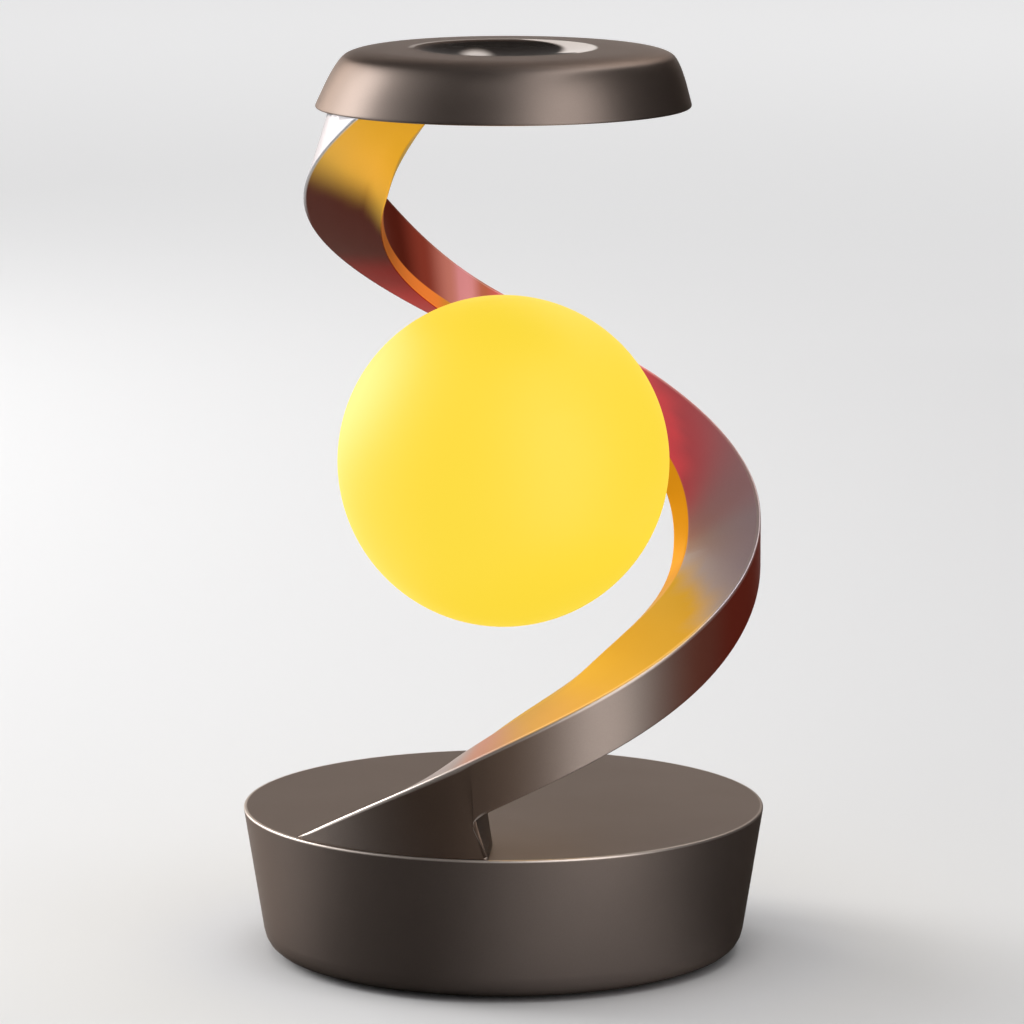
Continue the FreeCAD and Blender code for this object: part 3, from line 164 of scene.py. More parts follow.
# The socket's opening is cut by a round plug, pulled out to a slot with round ends.
socket_low, socket_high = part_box("power_inlet")
SOCKET_GAP = 0.0002
PLUG_RADIUS = 0.5
PLUG_REACH = 0.01
OPENING_STEPS = 48
opening = turned("socket_opening", [
    Vector((0, -PLUG_REACH)),
    Vector((PLUG_RADIUS, -PLUG_REACH)),
    Vector((PLUG_RADIUS, PLUG_REACH)),
    Vector((0, PLUG_REACH)),
], OPENING_STEPS)
half_width = (socket_high.x - socket_low.x) / 2 + SOCKET_GAP
half_height = (socket_high.z - socket_low.z) / 2 + SOCKET_GAP
for vertex in opening.data.vertices:
    direction = Vector((vertex.co.x, vertex.co.y))
    across = 0.0
    up = 0.0
    if direction.length > PLUG_RADIUS / 2:
        direction.normalize()
        flat = half_width - half_height
        across = flat * (1 if direction.x > 0 else -1) + direction.x * half_height
        up = direction.y * half_height
    vertex.co = Vector((across, socket_high.y + vertex.co.z, (socket_low.z + socket_high.z) / 2 + up))
opening.data.flip_normals()
trim(drum, opening)

BUTTON_ANGLE = math.radians(76)
key_low, key_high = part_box("power_button")
BUTTON_LEVEL = (key_low.z + key_high.z) / 2
BUTTON_RADIUS = 0.004
BUTTON_GAP = 0.0001
DRILL_START = 0.06
DRILL_END = 0.09


def outwards(azimuth, height):
    """Frame whose Z axis points outwards from the lamp's axis at an azimuth and a height."""
    turn = Matrix.Rotation(azimuth, 4, "Z") @ Matrix.Rotation(math.radians(90), 4, "Y")
    return Matrix.Translation((0, 0, height)) @ turn


drill = turned("button_opening", [
    Vector((0, DRILL_START)),
    Vector((BUTTON_RADIUS + BUTTON_GAP, DRILL_START)),
    Vector((BUTTON_RADIUS + BUTTON_GAP, DRILL_END)),
    Vector((0, DRILL_END)),
], OPENING_STEPS)
drill.data.transform(outwards(BUTTON_ANGLE, BUTTON_LEVEL))
trim(drum, drill)
for polygon in drum.data.polygons:
    polygon.use_smooth = True
drum.data.set_sharp_from_angle(angle=SHARP_ANGLE)
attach(drum, "lamp_frame")
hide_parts("base_housing")


def new_group(name, inputs, outputs):
    """Node group with named sockets, given as (name, kind, default)."""
    group = bpy.data.node_groups.new(name, "ShaderNodeTree")
    for label, kind, value in inputs:
        socket = group.interface.new_socket(label, in_out="INPUT", socket_type=kind)
        socket.default_value = value
    for label, kind in outputs:
        group.interface.new_socket(label, in_out="OUTPUT", socket_type=kind)
    return group, group.nodes.new("NodeGroupInput"), group.nodes.new("NodeGroupOutput")


def node(tree, kind, **settings):
    """Shader node of a kind, with its settings."""
    made = tree.nodes.new(kind)
    for setting, value in settings.items():
        setattr(made, setting, value)
    return made


def mixed(tree, factor, first, second, blend="MIX"):
    """Colour mix whose factor and colours are each a socket or a plain value."""
    mix = node(tree, "ShaderNodeMix", data_type="RGBA", blend_type=blend)
    colours = [socket for socket in mix.inputs if socket.type == "RGBA"]
    for socket, given in zip([mix.inputs["Factor"], *colours], (factor, first, second)):
        if isinstance(given, bpy.types.NodeSocket):
            tree.links.new(given, socket)
        else:
            socket.default_value = given
    return [socket for socket in mix.outputs if socket.type == "RGBA"][0]


# Fine mineral flake in satin paint: small changes of tone, gloss and surface.
FLAKE_SCALE = 2600
FLAKE_TONES = (0.93, 1.07)
CLOUD_SCALE = 26
CLOUD_ROUGHNESS = 0.08
FLAKE_HEIGHT = 0.00005
flake, flake_in, flake_out = new_group(
    "paint_flake",
    [("Colour", "NodeSocketColor", (0.2, 0.17, 0.15, 1)), ("Roughness", "NodeSocketFloat", 0.4)],
    [("Colour", "NodeSocketColor"), ("Roughness", "NodeSocketFloat"), ("Height", "NodeSocketFloat")])
place = node(flake, "ShaderNodeTexCoord")
fine = node(flake, "ShaderNodeTexNoise")
fine.inputs["Scale"].default_value = FLAKE_SCALE
fine.inputs["Detail"].default_value = 2
flake.links.new(place.outputs["Object"], fine.inputs["Vector"])
broad = node(flake, "ShaderNodeTexNoise")
broad.inputs["Scale"].default_value = CLOUD_SCALE
broad.inputs["Detail"].default_value = 3
flake.links.new(place.outputs["Object"], broad.inputs["Vector"])
tone = node(flake, "ShaderNodeMapRange")
tone.inputs["To Min"].default_value = FLAKE_TONES[0]
tone.inputs["To Max"].default_value = FLAKE_TONES[1]
flake.links.new(fine.outputs["Fac"], tone.inputs["Value"])
flake.links.new(
    mixed(flake, 1.0, flake_in.outputs["Colour"], tone.outputs["Result"], "MULTIPLY"),
    flake_out.inputs["Colour"])
gloss = node(flake, "ShaderNodeMath", operation="MULTIPLY_ADD")
gloss.inputs[1].default_value = CLOUD_ROUGHNESS
flake.links.new(broad.outputs["Fac"], gloss.inputs[0])
flake.links.new(flake_in.outputs["Roughness"], gloss.inputs[2])
flake.links.new(gloss.outputs["Value"], flake_out.inputs["Roughness"])
flake.links.new(fine.outputs["Fac"], flake_out.inputs["Height"])


# The paint's glancing gloss stays brownish.
GLANCING_TINT = (0.58, 0.50, 0.45, 1)


def finish(name, colour, roughness, metallic=0.0, grain=0.05):
    """Painted, moulded or metal surface with flake or grain; returns the material and its shader."""
    material = bpy.data.materials.new(name)
    material.use_nodes = True
    tree = material.node_tree
    shader = tree.nodes["Principled BSDF"]
    shader.inputs["Metallic"].default_value = metallic
    shader.inputs["Specular Tint"].default_value = GLANCING_TINT
    grit = node(tree, "ShaderNodeGroup")
    grit.node_tree = flake
    grit.inputs["Colour"].default_value = (*colour, 1)
    grit.inputs["Roughness"].default_value = roughness
    bump = node(tree, "ShaderNodeBump")
    bump.inputs["Strength"].default_value = grain
    bump.inputs["Distance"].default_value = FLAKE_HEIGHT
    tree.links.new(grit.outputs["Colour"], shader.inputs["Base Color"])
    tree.links.new(grit.outputs["Roughness"], shader.inputs["Roughness"])
    tree.links.new(grit.outputs["Height"], bump.inputs["Height"])
    tree.links.new(bump.outputs["Normal"], shader.inputs["Normal"])
    return material, shader


def store_painted_highlight(piece, share):
    """Store on a piece how strong the painted highlight is at each of its points."""
    attribute = piece.data.attributes.new("painted_highlight", "FLOAT", "POINT")
    attribute.data.foreach_set("value", [share(vertex.co) for vertex in piece.data.vertices])


# Painted highlight on edges: a pale metal colour with less roughness, where an edge catches the light.
PAINTED_HIGHLIGHT_COLOUR = (0.72, 0.64, 0.58, 1)
PAINTED_HIGHLIGHT_ROUGHNESS = 0.28
painted_edge_highlight, highlight_in, highlight_out = new_group(
    "painted_edge_highlight",
    [("Paint", "NodeSocketColor", (0.2, 0.17, 0.15, 1)), ("Roughness", "NodeSocketFloat", 0.4),
     ("Bright", "NodeSocketFloat", 0.0)],
    [("Colour", "NodeSocketColor"), ("Roughness", "NodeSocketFloat")])
painted_edge_highlight.links.new(
    mixed(painted_edge_highlight, highlight_in.outputs["Bright"], highlight_in.outputs["Paint"], PAINTED_HIGHLIGHT_COLOUR),
    highlight_out.inputs["Colour"])
highlight_gloss = node(painted_edge_highlight, "ShaderNodeMix")
highlight_gloss.inputs["B"].default_value = PAINTED_HIGHLIGHT_ROUGHNESS
painted_edge_highlight.links.new(highlight_in.outputs["Bright"], highlight_gloss.inputs["Factor"])
painted_edge_highlight.links.new(highlight_in.outputs["Roughness"], highlight_gloss.inputs["A"])
painted_edge_highlight.links.new(highlight_gloss.outputs["Result"], highlight_out.inputs["Roughness"])


def show_painted_highlight(material, shader):
    """Show the painted highlight that a piece stores."""
    tree = material.node_tree
    edge = node(tree, "ShaderNodeAttribute", attribute_name="painted_highlight")
    highlight_node = node(tree, "ShaderNodeGroup")
    highlight_node.node_tree = painted_edge_highlight
    tree.links.new(edge.outputs["Fac"], highlight_node.inputs["Bright"])
    tree.links.new(shader.inputs["Base Color"].links[0].from_socket, highlight_node.inputs["Paint"])
    tree.links.new(shader.inputs["Roughness"].links[0].from_socket, highlight_node.inputs["Roughness"])
    tree.links.new(highlight_node.outputs["Colour"], shader.inputs["Base Color"])
    tree.links.new(highlight_node.outputs["Roughness"], shader.inputs["Roughness"])


BRONZE = (0.166, 0.135, 0.119)
SATIN = 0.36
METAL_SHARE = 0.8
bronze, _ = finish("bronze_grey_paint", BRONZE, SATIN, metallic=METAL_SHARE)
drum_paint, drum_shader = finish("drum_paint", BRONZE, SATIN, metallic=METAL_SHARE)
# Painted highlight along the drum's rim: its strength at the left, where the key light falls, and how much of
# it falls away towards the right.
RIM_HIGHLIGHT = 0.75
RIM_HIGHLIGHT_FALL = 0.45


def rim_share(place):
    """Strength of the painted highlight on the drum's rim at a place: most at the left, less to the right."""
    on_rim = place.z > BASE_TOP - RIM_ROUND * 0.9 and place.xy.length > BASE_RADIUS - RIM_ROUND * 1.2
    return (RIM_HIGHLIGHT - RIM_HIGHLIGHT_FALL * max(0.0, place.x / BASE_RADIUS)) if on_rim else 0.0


store_painted_highlight(drum, rim_share)
show_painted_highlight(drum_paint, drum_shader)
drum.data.materials.clear()
drum.data.materials.append(drum_paint)


# ---- underside -------------------------------------------------------------------------------------
# Moulded plate with four rubber pads and steel screws in sunk holes, under the drum. It carries a
# turned steel ring as ballast.

black_plastic, _ = finish("black_moulding", (0.022, 0.021, 0.02), 0.55, grain=0.2)
pad_rubber, _ = finish("pad_rubber", (0.016, 0.016, 0.016), 0.8, grain=0.4)
plain_steel, _ = finish("plain_steel", (0.55, 0.55, 0.56), 0.3, metallic=1.0)


def dress(material, *names):
    """Give CAD nodes a material."""
    for name in names:
        piece = nodes[name]
        piece.data.materials.clear()
        piece.data.materials.append(material)


dress(black_plastic, "base_bottom_plate")
dress(pad_rubber, "rubber_feet")
dress(plain_steel, "bottom_screws", "ballast_ring")


# ---- electronics in the base -----------------------------------------------------------------------
# Green circuit board with its chips, the steel power socket that looks out of the rear wall, and the
# tactile switch behind the button.

solder_mask, _ = finish("solder_mask", (0.02, 0.12, 0.05), 0.35)
dress(solder_mask, "main_board")
dress(black_plastic, "board_components", "button_switch")
dress(plain_steel, "power_inlet", "board_screws")


# ---- power button ----------------------------------------------------------------------------------
# Small painted key with a rounded edge, turned in one piece with the collar that keeps it in.

KEY_BEVEL = 0.0006
KEY_HOLLOW = 0.0001
KEY_CROWN_SHARE = 0.6
KEY_CROWN_ROUND = 0.0008
KEY_SHOULDER = 0.0004
KEY_SHOULDER_ROUND = 0.0005
KEY_LENGTH = 0.006
KEY_REAR_ROUND = 0.0002
KEY_HOLD = 0.0001
KEY_STEPS = 64
# The solid key's farthest points lie on the edge of its face, inside its bevel.
key_reach = max(Vector((v.co.x, v.co.y)).length for v in nodes["power_button"].data.vertices)
key_face = math.sqrt(key_reach ** 2 - (BUTTON_RADIUS - KEY_BEVEL) ** 2)
key = turned("power_key", profile([
    (0.0, key_face - KEY_HOLLOW, 0),
    (BUTTON_RADIUS * KEY_CROWN_SHARE, key_face, KEY_CROWN_ROUND),
    (BUTTON_RADIUS, key_face - KEY_SHOULDER, KEY_SHOULDER_ROUND),
    (BUTTON_RADIUS, key_face - KEY_LENGTH, KEY_REAR_ROUND),
    (0.0, key_face - KEY_LENGTH, 0),
], KEY_HOLD), KEY_STEPS)
key.data.transform(outwards(BUTTON_ANGLE, BUTTON_LEVEL))
key.data.materials.append(bronze)
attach(key, "power_button")
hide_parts("power_button")


# ---- arm -------------------------------------------------------------------------------------------
# Twisted wedge-section arm. It grows out of the drum's rim, ends there in an upright face with a
# rounded inner corner, climbs once round the globe and runs up against the cap. Cast and painted.

# Azimuth, share of the way from the cap's radius out to the drum's, share of the climb at the lower
# outer edge, outer wall, inward lean of that wall, inner edge beyond the globe's radius, its rise
# and its bevel, the last five in millimetres.
ARM_STATIONS = [
    (-142, 1.00, -0.10, 21.2, 0.0, 0.0, 16.7, 2.0),
    (-95, 1.00, 0.06, 18.0, 0.0, -3.0, 17.5, 4.0),
    (-48, 1.00, 0.20, 18.5, 0.0, -5.0, 10.5, 5.0),
    (0, 0.93, 0.36, 15.5, 0.0, 0.9, 0.0, 4.5),
    (47, 0.69, 0.50, 16.5, 0.0, 5.5, 0.5, 4.5),
    (94, 0.42, 0.62, 19.0, 6.5, 2.4, 2.0, 2.5),
    (141, 0.23, 0.753, 25.0, 12.0, -6.9, 1.0, 0.0),
    (188, 0.14, 0.896, 20.5, 7.0, -17.4, 0.0, -1.0),
    (235, -0.02, 1.045, 17.0, 0.0, -29.1, -3.5, 1.0),
]
MILLIMETRE = 0.001
CAP_RADIUS = 0.0564
GLOBE_RADIUS = 0.05
# Azimuths over which the arm's outside moves out from the start of the rim's rounding to the full radius.
LEAVES_RIM = (-100, -60)
# The bevel's rise and its shares: the least anywhere, what it gains beyond the foot and what it has
# extra on the foot, each with the azimuths over which that comes or goes.
ARM_BEVEL = 0.0045
BEVEL_LEAST = 0.1
BEVEL_GROWN = 0.9
BEVEL_GROWS = (-78, -50)
BEVEL_AT_FOOT = 0.3
BEVEL_LEAVES_FOOT = (-108, -88)
# How far the lower inner edge is tucked in near the cap, and the azimuths over which that comes.
HEAD_TUCK = 0.0048
HEAD_TUCKED = (176, 216)
cap_low, cap_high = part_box("cap_shell")
CAP_UNDERSIDE = cap_low.z


def smooth(places, values, place):
    """Monotone cubic through the values."""
    steps = [(values[i + 1] - values[i]) / (places[i + 1] - places[i]) for i in range(len(places) - 1)]
    slopes = [steps[0]]
    for before, after in zip(steps, steps[1:]):
        slopes.append(0.0 if before * after <= 0 else 2 * before * after / (before + after))
    slopes.append(steps[-1])
    index = 0
    while index < len(places) - 2 and place > places[index + 1]:
        index += 1
    width = places[index + 1] - places[index]
    part = (place - places[index]) / width
    return ((1 + 2 * part) * (1 - part) ** 2 * values[index]
            + part * (1 - part) ** 2 * width * slopes[index]
            + part ** 2 * (3 - 2 * part) * values[index + 1]
            + part ** 2 * (part - 1) * width * slopes[index + 1])


def eased(low, high, value):
    """0 below low, 1 above high, smooth between."""
    part = min(1.0, max(0.0, (value - low) / (high - low)))
    return part * part * (3 - 2 * part)


AZIMUTHS = [station[0] for station in ARM_STATIONS]
COLUMNS = list(zip(*ARM_STATIONS))


def arm_corners(azimuth):
    """Low outer, top outer, upper inner and lower inner corner as (radius, height)."""
    here = [smooth(AZIMUTHS, column, azimuth) for column in COLUMNS[1:]]
    spread, climb, wall, lean, clear, rise, bevel = here
    radius = CAP_RADIUS + (BASE_RADIUS - CAP_RADIUS) * spread
    radius -= RIM_ROUND * (1 - eased(*LEAVES_RIM, azimuth))
    low = BASE_TOP + (CAP_UNDERSIDE - BASE_TOP) * climb
    nose = GLOBE_RADIUS + clear * MILLIMETRE
    nose_low = low + rise * MILLIMETRE
    beyond_foot = BEVEL_GROWN * eased(*BEVEL_GROWS, azimuth)
    at_foot = BEVEL_AT_FOOT * (1 - eased(*BEVEL_LEAVES_FOOT, azimuth))
    bevel_rise = ARM_BEVEL * (BEVEL_LEAST + beyond_foot + at_foot)
    tuck = HEAD_TUCK * eased(*HEAD_TUCKED, azimuth)
    return (
        Vector((radius, low)),
        Vector((radius - lean * MILLIMETRE, low + wall * MILLIMETRE)),
        Vector((nose + bevel * MILLIMETRE, nose_low + bevel_rise)),
        Vector((nose + tuck, nose_low)),
    )


def stand(point, azimuth):
    """Section point stood up in the plane of its azimuth."""
    angle = math.radians(azimuth)
    return Vector((point.x * math.cos(angle), point.x * math.sin(angle), point.y))


# The foot stands a little way into the drum's top.
FOOT_SUNK = 0.00005
FLOOR = BASE_TOP - FOOT_SUNK
FOOT_START = AZIMUTHS[0] + 1.0
FOOT_INNER = 0.056
# Where a fifth corner stands on the underside, as a share of the way to the inner edge.
FOOT_SHARE = 0.72
# Azimuths of the foot's end face at its foot and its top, and of the arm's top where the rings of
# that face start and end.
END_FACE_FOOT = -93.2
END_FACE_TOP = -97.4
TOP_BEFORE_END = -99.5
TOP_AFTER_END = -93.6
END_RINGS = 16
# The share of those rings that climb the face. The others turn its corner, from this far below it.
STRAIGHT_SHARE = 0.4
CORNER_SPAN = 0.0036
STEP = 1.5


def bottom_pair(azimuth):
    """Lower outer corner and a point on the underside, in space, on the free part of the arm."""
    low, _, _, nose = arm_corners(azimuth)
    return stand(low, azimuth), stand(low.lerp(nose, FOOT_SHARE), azimuth)


rings = []
azimuth = FOOT_START
while azimuth < TOP_BEFORE_END:
    low, top, nose_top, nose = arm_corners(azimuth)
    grown = eased(AZIMUTHS[0], TOP_BEFORE_END, azimuth)
    foot_azimuth = azimuth + (END_FACE_FOOT - TOP_BEFORE_END) * grown
    rings.append((azimuth, [
        stand(Vector((low.x, FLOOR)), foot_azimuth),
        stand(Vector((top.x, max(top.y, FLOOR))), azimuth),
        stand(Vector((nose_top.x, max(nose_top.y, FLOOR))), azimuth),
        stand(Vector((nose.x, max(nose.y, FLOOR))), azimuth),
        stand(Vector((FOOT_INNER, FLOOR)), foot_azimuth),
    ]))
    azimuth += STEP

foot_pair = (
    stand(Vector((BASE_RADIUS - RIM_ROUND, FLOOR)), END_FACE_FOOT),
    stand(Vector((FOOT_INNER, FLOOR)), END_FACE_FOOT),
)
for index in range(END_RINGS + 1):
    part = index / END_RINGS
    azimuth = TOP_BEFORE_END + (TOP_AFTER_END - TOP_BEFORE_END) * part
    _, top, nose_top, nose = arm_corners(azimuth)
    pair = []
    for foot, corner, after in zip(foot_pair, bottom_pair(END_FACE_TOP), bottom_pair(TOP_AFTER_END)):
        rise_end = corner + (foot - corner).normalized() * CORNER_SPAN
        if part < STRAIGHT_SHARE:
            pair.append(foot.lerp(rise_end, part / STRAIGHT_SHARE))
        else:
            turn = (part - STRAIGHT_SHARE) / (1 - STRAIGHT_SHARE)
            pair.append(rise_end * (1 - turn) ** 2 + corner * 2 * turn * (1 - turn) + after * turn ** 2)
    rings.append((azimuth, [
        pair[0], stand(top, azimuth), stand(nose_top, azimuth), stand(nose, azimuth), pair[1],
    ]))
azimuth = TOP_AFTER_END + STEP
while azimuth <= AZIMUTHS[-1]:
    low, top, nose_top, nose = arm_corners(azimuth)
    under = low.lerp(nose, FOOT_SHARE)
    rings.append((azimuth, [stand(point, azimuth) for point in (low, top, nose_top, nose, under)]))
    azimuth += STEP

# Rounding of the low outer, top outer, upper inner and lower inner edge and of the underside's corner.
EDGE_ROUNDS = (0.0006, 0.0009, 0.0007, 0.0006, 0.0004)
LEAST_ROUND = 1e-5
# No rounding takes more than this share of a side.
ROUND_LIMIT = 0.3
ROUND_STEPS = 4
# Points along a side: one close to each rounding, which keeps the side flat, and the rest evenly.
SIDE_POINTS = 6
SIDE_HOLD = 0.03
side_shares = [SIDE_HOLD + (1 - 2 * SIDE_HOLD) * (step / SIDE_POINTS) for step in range(1, SIDE_POINTS)]
side_shares[0] = SIDE_HOLD
side_shares[-1] = 1 - SIDE_HOLD
# A place on the arm is its azimuth and a number that is whole at each rounding's middle and runs on
# along the side. A rounding spans this much of it.
ROUND_SPAN = 0.02
arm_vertices = []
arm_marks = []
for azimuth, corners in rings:
    count = len(corners)
    for index, corner in enumerate(corners):
        before = corners[index - 1]
        after = corners[(index + 1) % count]
        side_limit = (after - corner).length * ROUND_LIMIT
        cut = min(EDGE_ROUNDS[index], (before - corner).length * ROUND_LIMIT, side_limit)
        cut = max(cut, LEAST_ROUND)
        arm_vertices += bend(before, corner, after, cut, ROUND_STEPS)
        for step in range(ROUND_STEPS + 1):
            arm_marks.append((azimuth, index + ROUND_SPAN * (step / ROUND_STEPS - 0.5)))
        next_cut = min(EDGE_ROUNDS[(index + 1) % count], side_limit)
        way = (after - corner).normalized()
        side_start = corner + way * cut
        side_end = after - way * max(next_cut, LEAST_ROUND)
        for share in side_shares:
            arm_vertices.append(side_start.lerp(side_end, share))
            arm_marks.append((azimuth, index + share))
ring_size = len(arm_vertices) // len(rings)
arm_faces = []
for ring in range(len(rings) - 1):
    for step in range(ring_size):
        here = ring * ring_size + step
        beside = ring * ring_size + (step + 1) % ring_size
        arm_faces.append((here, here + ring_size, beside + ring_size, beside))
arm_faces.append(tuple(range(ring_size)))
arm_faces.append(tuple((len(rings) - 1) * ring_size + step for step in range(ring_size)))

arm_mesh = bpy.data.meshes.new("arm_skin")
arm_mesh.from_pydata([tuple(v) for v in arm_vertices], [], arm_faces)


def window(low, high, soft, value):
    """1 between low and high, 0 outside, with soft edges."""
    return eased(low - soft, low + soft, value) * (1 - eased(high - soft, high + soft, value))


# Tones painted in bands over the arm's paint, each as a colour and what it gives off. Apart from bare, they
# are painted light: painted highlights, reflections and shade in the colour, and the globe's light on the arm
# as a painted glow.
PAINT_AND_PAINTED_LIGHT = {
    "bare": ((0.200, 0.165, 0.145), (0.0, 0.0, 0.0)),
    "brown": ((0.145, 0.100, 0.075), (0.0, 0.0, 0.0)),
    "silver": ((0.36, 0.34, 0.35), (0.10, 0.12, 0.13)),
    "cream": ((0.44, 0.38, 0.37), (0.0, 0.0, 0.0)),
    "peach": ((0.40, 0.22, 0.16), (0.15, 0.045, 0.025)),
    "straw": ((0.34, 0.19, 0.035), (0.24, 0.135, 0.02)),
    "golden": ((0.235, 0.165, 0.012), (0.38, 0.19, 0.018)),
    "amber": ((0.16, 0.08, 0.004), (0.60, 0.225, 0.006)),
    "old_gold": ((0.42, 0.25, 0.07), (0.22, 0.16, 0.02)),
    "orange": ((0.30, 0.12, 0.03), (0.74, 0.175, 0.028)),
    "burnt_orange": ((0.25, 0.10, 0.03), (0.28, 0.075, 0.012)),
    "pale": ((0.35, 0.33, 0.40), (0.07, 0.06, 0.08)),
    "dusk": ((0.33, 0.25, 0.28), (0.055, 0.042, 0.047)),
    "mauve": ((0.30, 0.17, 0.18), (0.095, 0.050, 0.054)),
    "old_rose": ((0.20, 0.07, 0.07), (0.285, 0.034, 0.042)),
    "rose": ((0.18, 0.06, 0.06), (0.49, 0.042, 0.050)),
    "coral": ((0.20, 0.08, 0.06), (0.44, 0.14, 0.105)),
    "pink": ((0.22, 0.10, 0.09), (0.55, 0.19, 0.195)),
    "terracotta": ((0.18, 0.06, 0.04), (0.29, 0.06, 0.02)),
    "brick": ((0.13, 0.03, 0.02), (0.185, 0.028, 0.016)),
    "dark_brick": ((0.10, 0.03, 0.02), (0.06, 0.006, 0.003)),
    "rust": ((0.13, 0.075, 0.05), (0.05, 0.006, 0.004)),
    "ember": ((0.08, 0.004, 0.002), (0.28, 0.0, 0.0)),
    "red_umber": ((0.10, 0.012, 0.012), (0.115, 0.0, 0.0)),
    "umber": ((0.10, 0.027, 0.023), (0.0, 0.0, 0.0)),
}
# For each side of the arm, the azimuth at which a tone is full on the side's first edge, how much further on
# that is at its second edge, and the tone.
OUTER_BANDS = [
    (-128, 0, "bare"), (-106, 0, "brown"), (-92, 0, "brown"), (-70, 0, "bare"), (-62, 0, "bare"),
    (-41, 0, "rust"), (-30, 0, "dark_brick"), (115, 0, "dark_brick"), (140, 0, "umber"),
    (164, 0, "umber"), (182, 0, "silver"),
]
TOP_BANDS = [
    (-124, 0, "bare"), (-108, 0, "cream"), (-103, 0, "cream"), (-96, 0, "peach"), (-82, 0, "straw"),
    (-62, 0, "golden"), (-47, 29, "golden"), (-35, 29, "pale"), (-4, 0, "dusk"), (10, -8, "mauve"),
    (46, -27, "old_rose"), (54, -27, "rose"), (90, 0, "rose"), (96, 0, "terracotta"),
    (101, 0, "pink"), (104, 0, "pink"), (107, 0, "coral"), (118, 0, "brick"), (132, 0, "dark_brick"),
]
BEVEL_BANDS = [
    (-100, 0, "bare"), (-88, 0, "golden"), (-40, 0, "golden"), (-5, 0, "amber"), (60, 0, "amber"),
    (104, 0, "golden"), (116, 0, "orange"), (150, 0, "burnt_orange"), (170, 0, "burnt_orange"),
    (185, 0, "old_gold"), (236, 0, "golden"),
]
UNDER_BANDS = [
    (20, 0, "bare"), (60, 0, "ember"), (117, 0, "ember"), (134, 0, "red_umber"), (150, 0, "umber"),
    (157, 27, "umber"), (178, 28, "old_gold"), (206, 20, "golden"),
]


def paint_and_light_at(azimuth, side):
    """Painted colour and painted glow at a place on the arm."""
    if side < 1:
        bands = OUTER_BANDS
        across = max(0.0, side)
    elif side < 2:
        bands = TOP_BANDS
        across = side - 1
    elif side < 3:
        bands = BEVEL_BANDS
        across = side - 2
    else:
        bands = UNDER_BANDS
        across = (side - 3) / 2
    starts = [band[0] + band[1] * across for band in bands]
    reached = sum(start <= azimuth for start in starts)
    if reached == 0:
        return PAINT_AND_PAINTED_LIGHT[bands[0][2]]
    if reached == len(bands):
        return PAINT_AND_PAINTED_LIGHT[bands[-1][2]]
    part = eased(starts[reached - 1], starts[reached], azimuth)
    before = PAINT_AND_PAINTED_LIGHT[bands[reached - 1][2]]
    after = PAINT_AND_PAINTED_LIGHT[bands[reached][2]]
    return tuple(
        tuple(low * (1 - part) + high * part for low, high in zip(first, second))
        for first, second in zip(before, after))


# Painted highlight along the top outer edge, weaker from the foot's end on, and along the upright edge there.
EDGE_REACH = 0.015
EDGE_SOFT = 0.005
TOP_EDGE_FADES = (-104, -86)
TOP_EDGE_FADE = 0.6
UPRIGHT_EDGE = (-100, -94)
UPRIGHT_EDGE_SHARE = 0.5
UPRIGHT_EDGE_SOFT = 0.5


def edge_share(azimuth, side):
    """Strength of the painted highlight on the arm at a place."""
    along = window(1 - EDGE_REACH, 1 + EDGE_REACH, EDGE_SOFT, side)
    along *= 1 - TOP_EDGE_FADE * eased(*TOP_EDGE_FADES, azimuth)
    upright = window(-EDGE_REACH, EDGE_REACH, EDGE_SOFT, side)
    upright *= UPRIGHT_EDGE_SHARE * window(*UPRIGHT_EDGE, UPRIGHT_EDGE_SOFT, azimuth)
    return max(along, upright)


# Per point, the arm's paint with its painted highlights, reflections and shade, and its painted glow.
painted_coat_mark = arm_mesh.attributes.new("coat_with_painted_light", "FLOAT_COLOR", "POINT")
painted_glow_mark = arm_mesh.attributes.new("painted_glow", "FLOAT_COLOR", "POINT")
for index, (azimuth, side) in enumerate(arm_marks):
    colour, painted_glow_colour = paint_and_light_at(azimuth, side)
    painted_coat_mark.data[index].color = (*colour, 1)
    painted_glow_mark.data[index].color = (*painted_glow_colour, 1)
bright = arm_mesh.attributes.new("painted_highlight", "FLOAT", "POINT")
bright.data.foreach_set("value", [edge_share(*mark) for mark in arm_marks])
arm = bpy.data.objects.new("arm_skin", arm_mesh)
bpy.context.scene.collection.objects.link(arm)
# The arm is cut off just inside the cap.
HEAD_SUNK = 0.0002
work = bmesh.new()
work.from_mesh(arm_mesh)
bmesh.ops.bisect_plane(
    work, geom=work.verts[:] + work.edges[:] + work.faces[:], plane_co=(0, 0, CAP_UNDERSIDE + HEAD_SUNK),
    plane_no=(0, 0, 1), clear_outer=True)
bmesh.ops.holes_fill(work, edges=[edge for edge in work.edges if edge.is_boundary])
bmesh.ops.recalc_face_normals(work, faces=work.faces)
for face in work.faces:
    face.smooth = True
work.to_mesh(arm_mesh)
work.free()

ARM_COLOUR = PAINT_AND_PAINTED_LIGHT["bare"][0]
arm_paint, _ = finish("arm_paint", ARM_COLOUR, SATIN, metallic=METAL_SHARE)
arm_painted_light, painted_light_shader = finish("arm_painted_light", ARM_COLOUR, SATIN, metallic=METAL_SHARE)
painted_light_tree = arm_painted_light.node_tree
painted_coat_node = node(painted_light_tree, "ShaderNodeAttribute", attribute_name="coat_with_painted_light")
grit = [made for made in painted_light_tree.nodes if made.type == "GROUP"][0]
painted_light_tree.links.new(painted_coat_node.outputs["Color"], grit.inputs["Colour"])
show_painted_highlight(arm_painted_light, painted_light_shader)
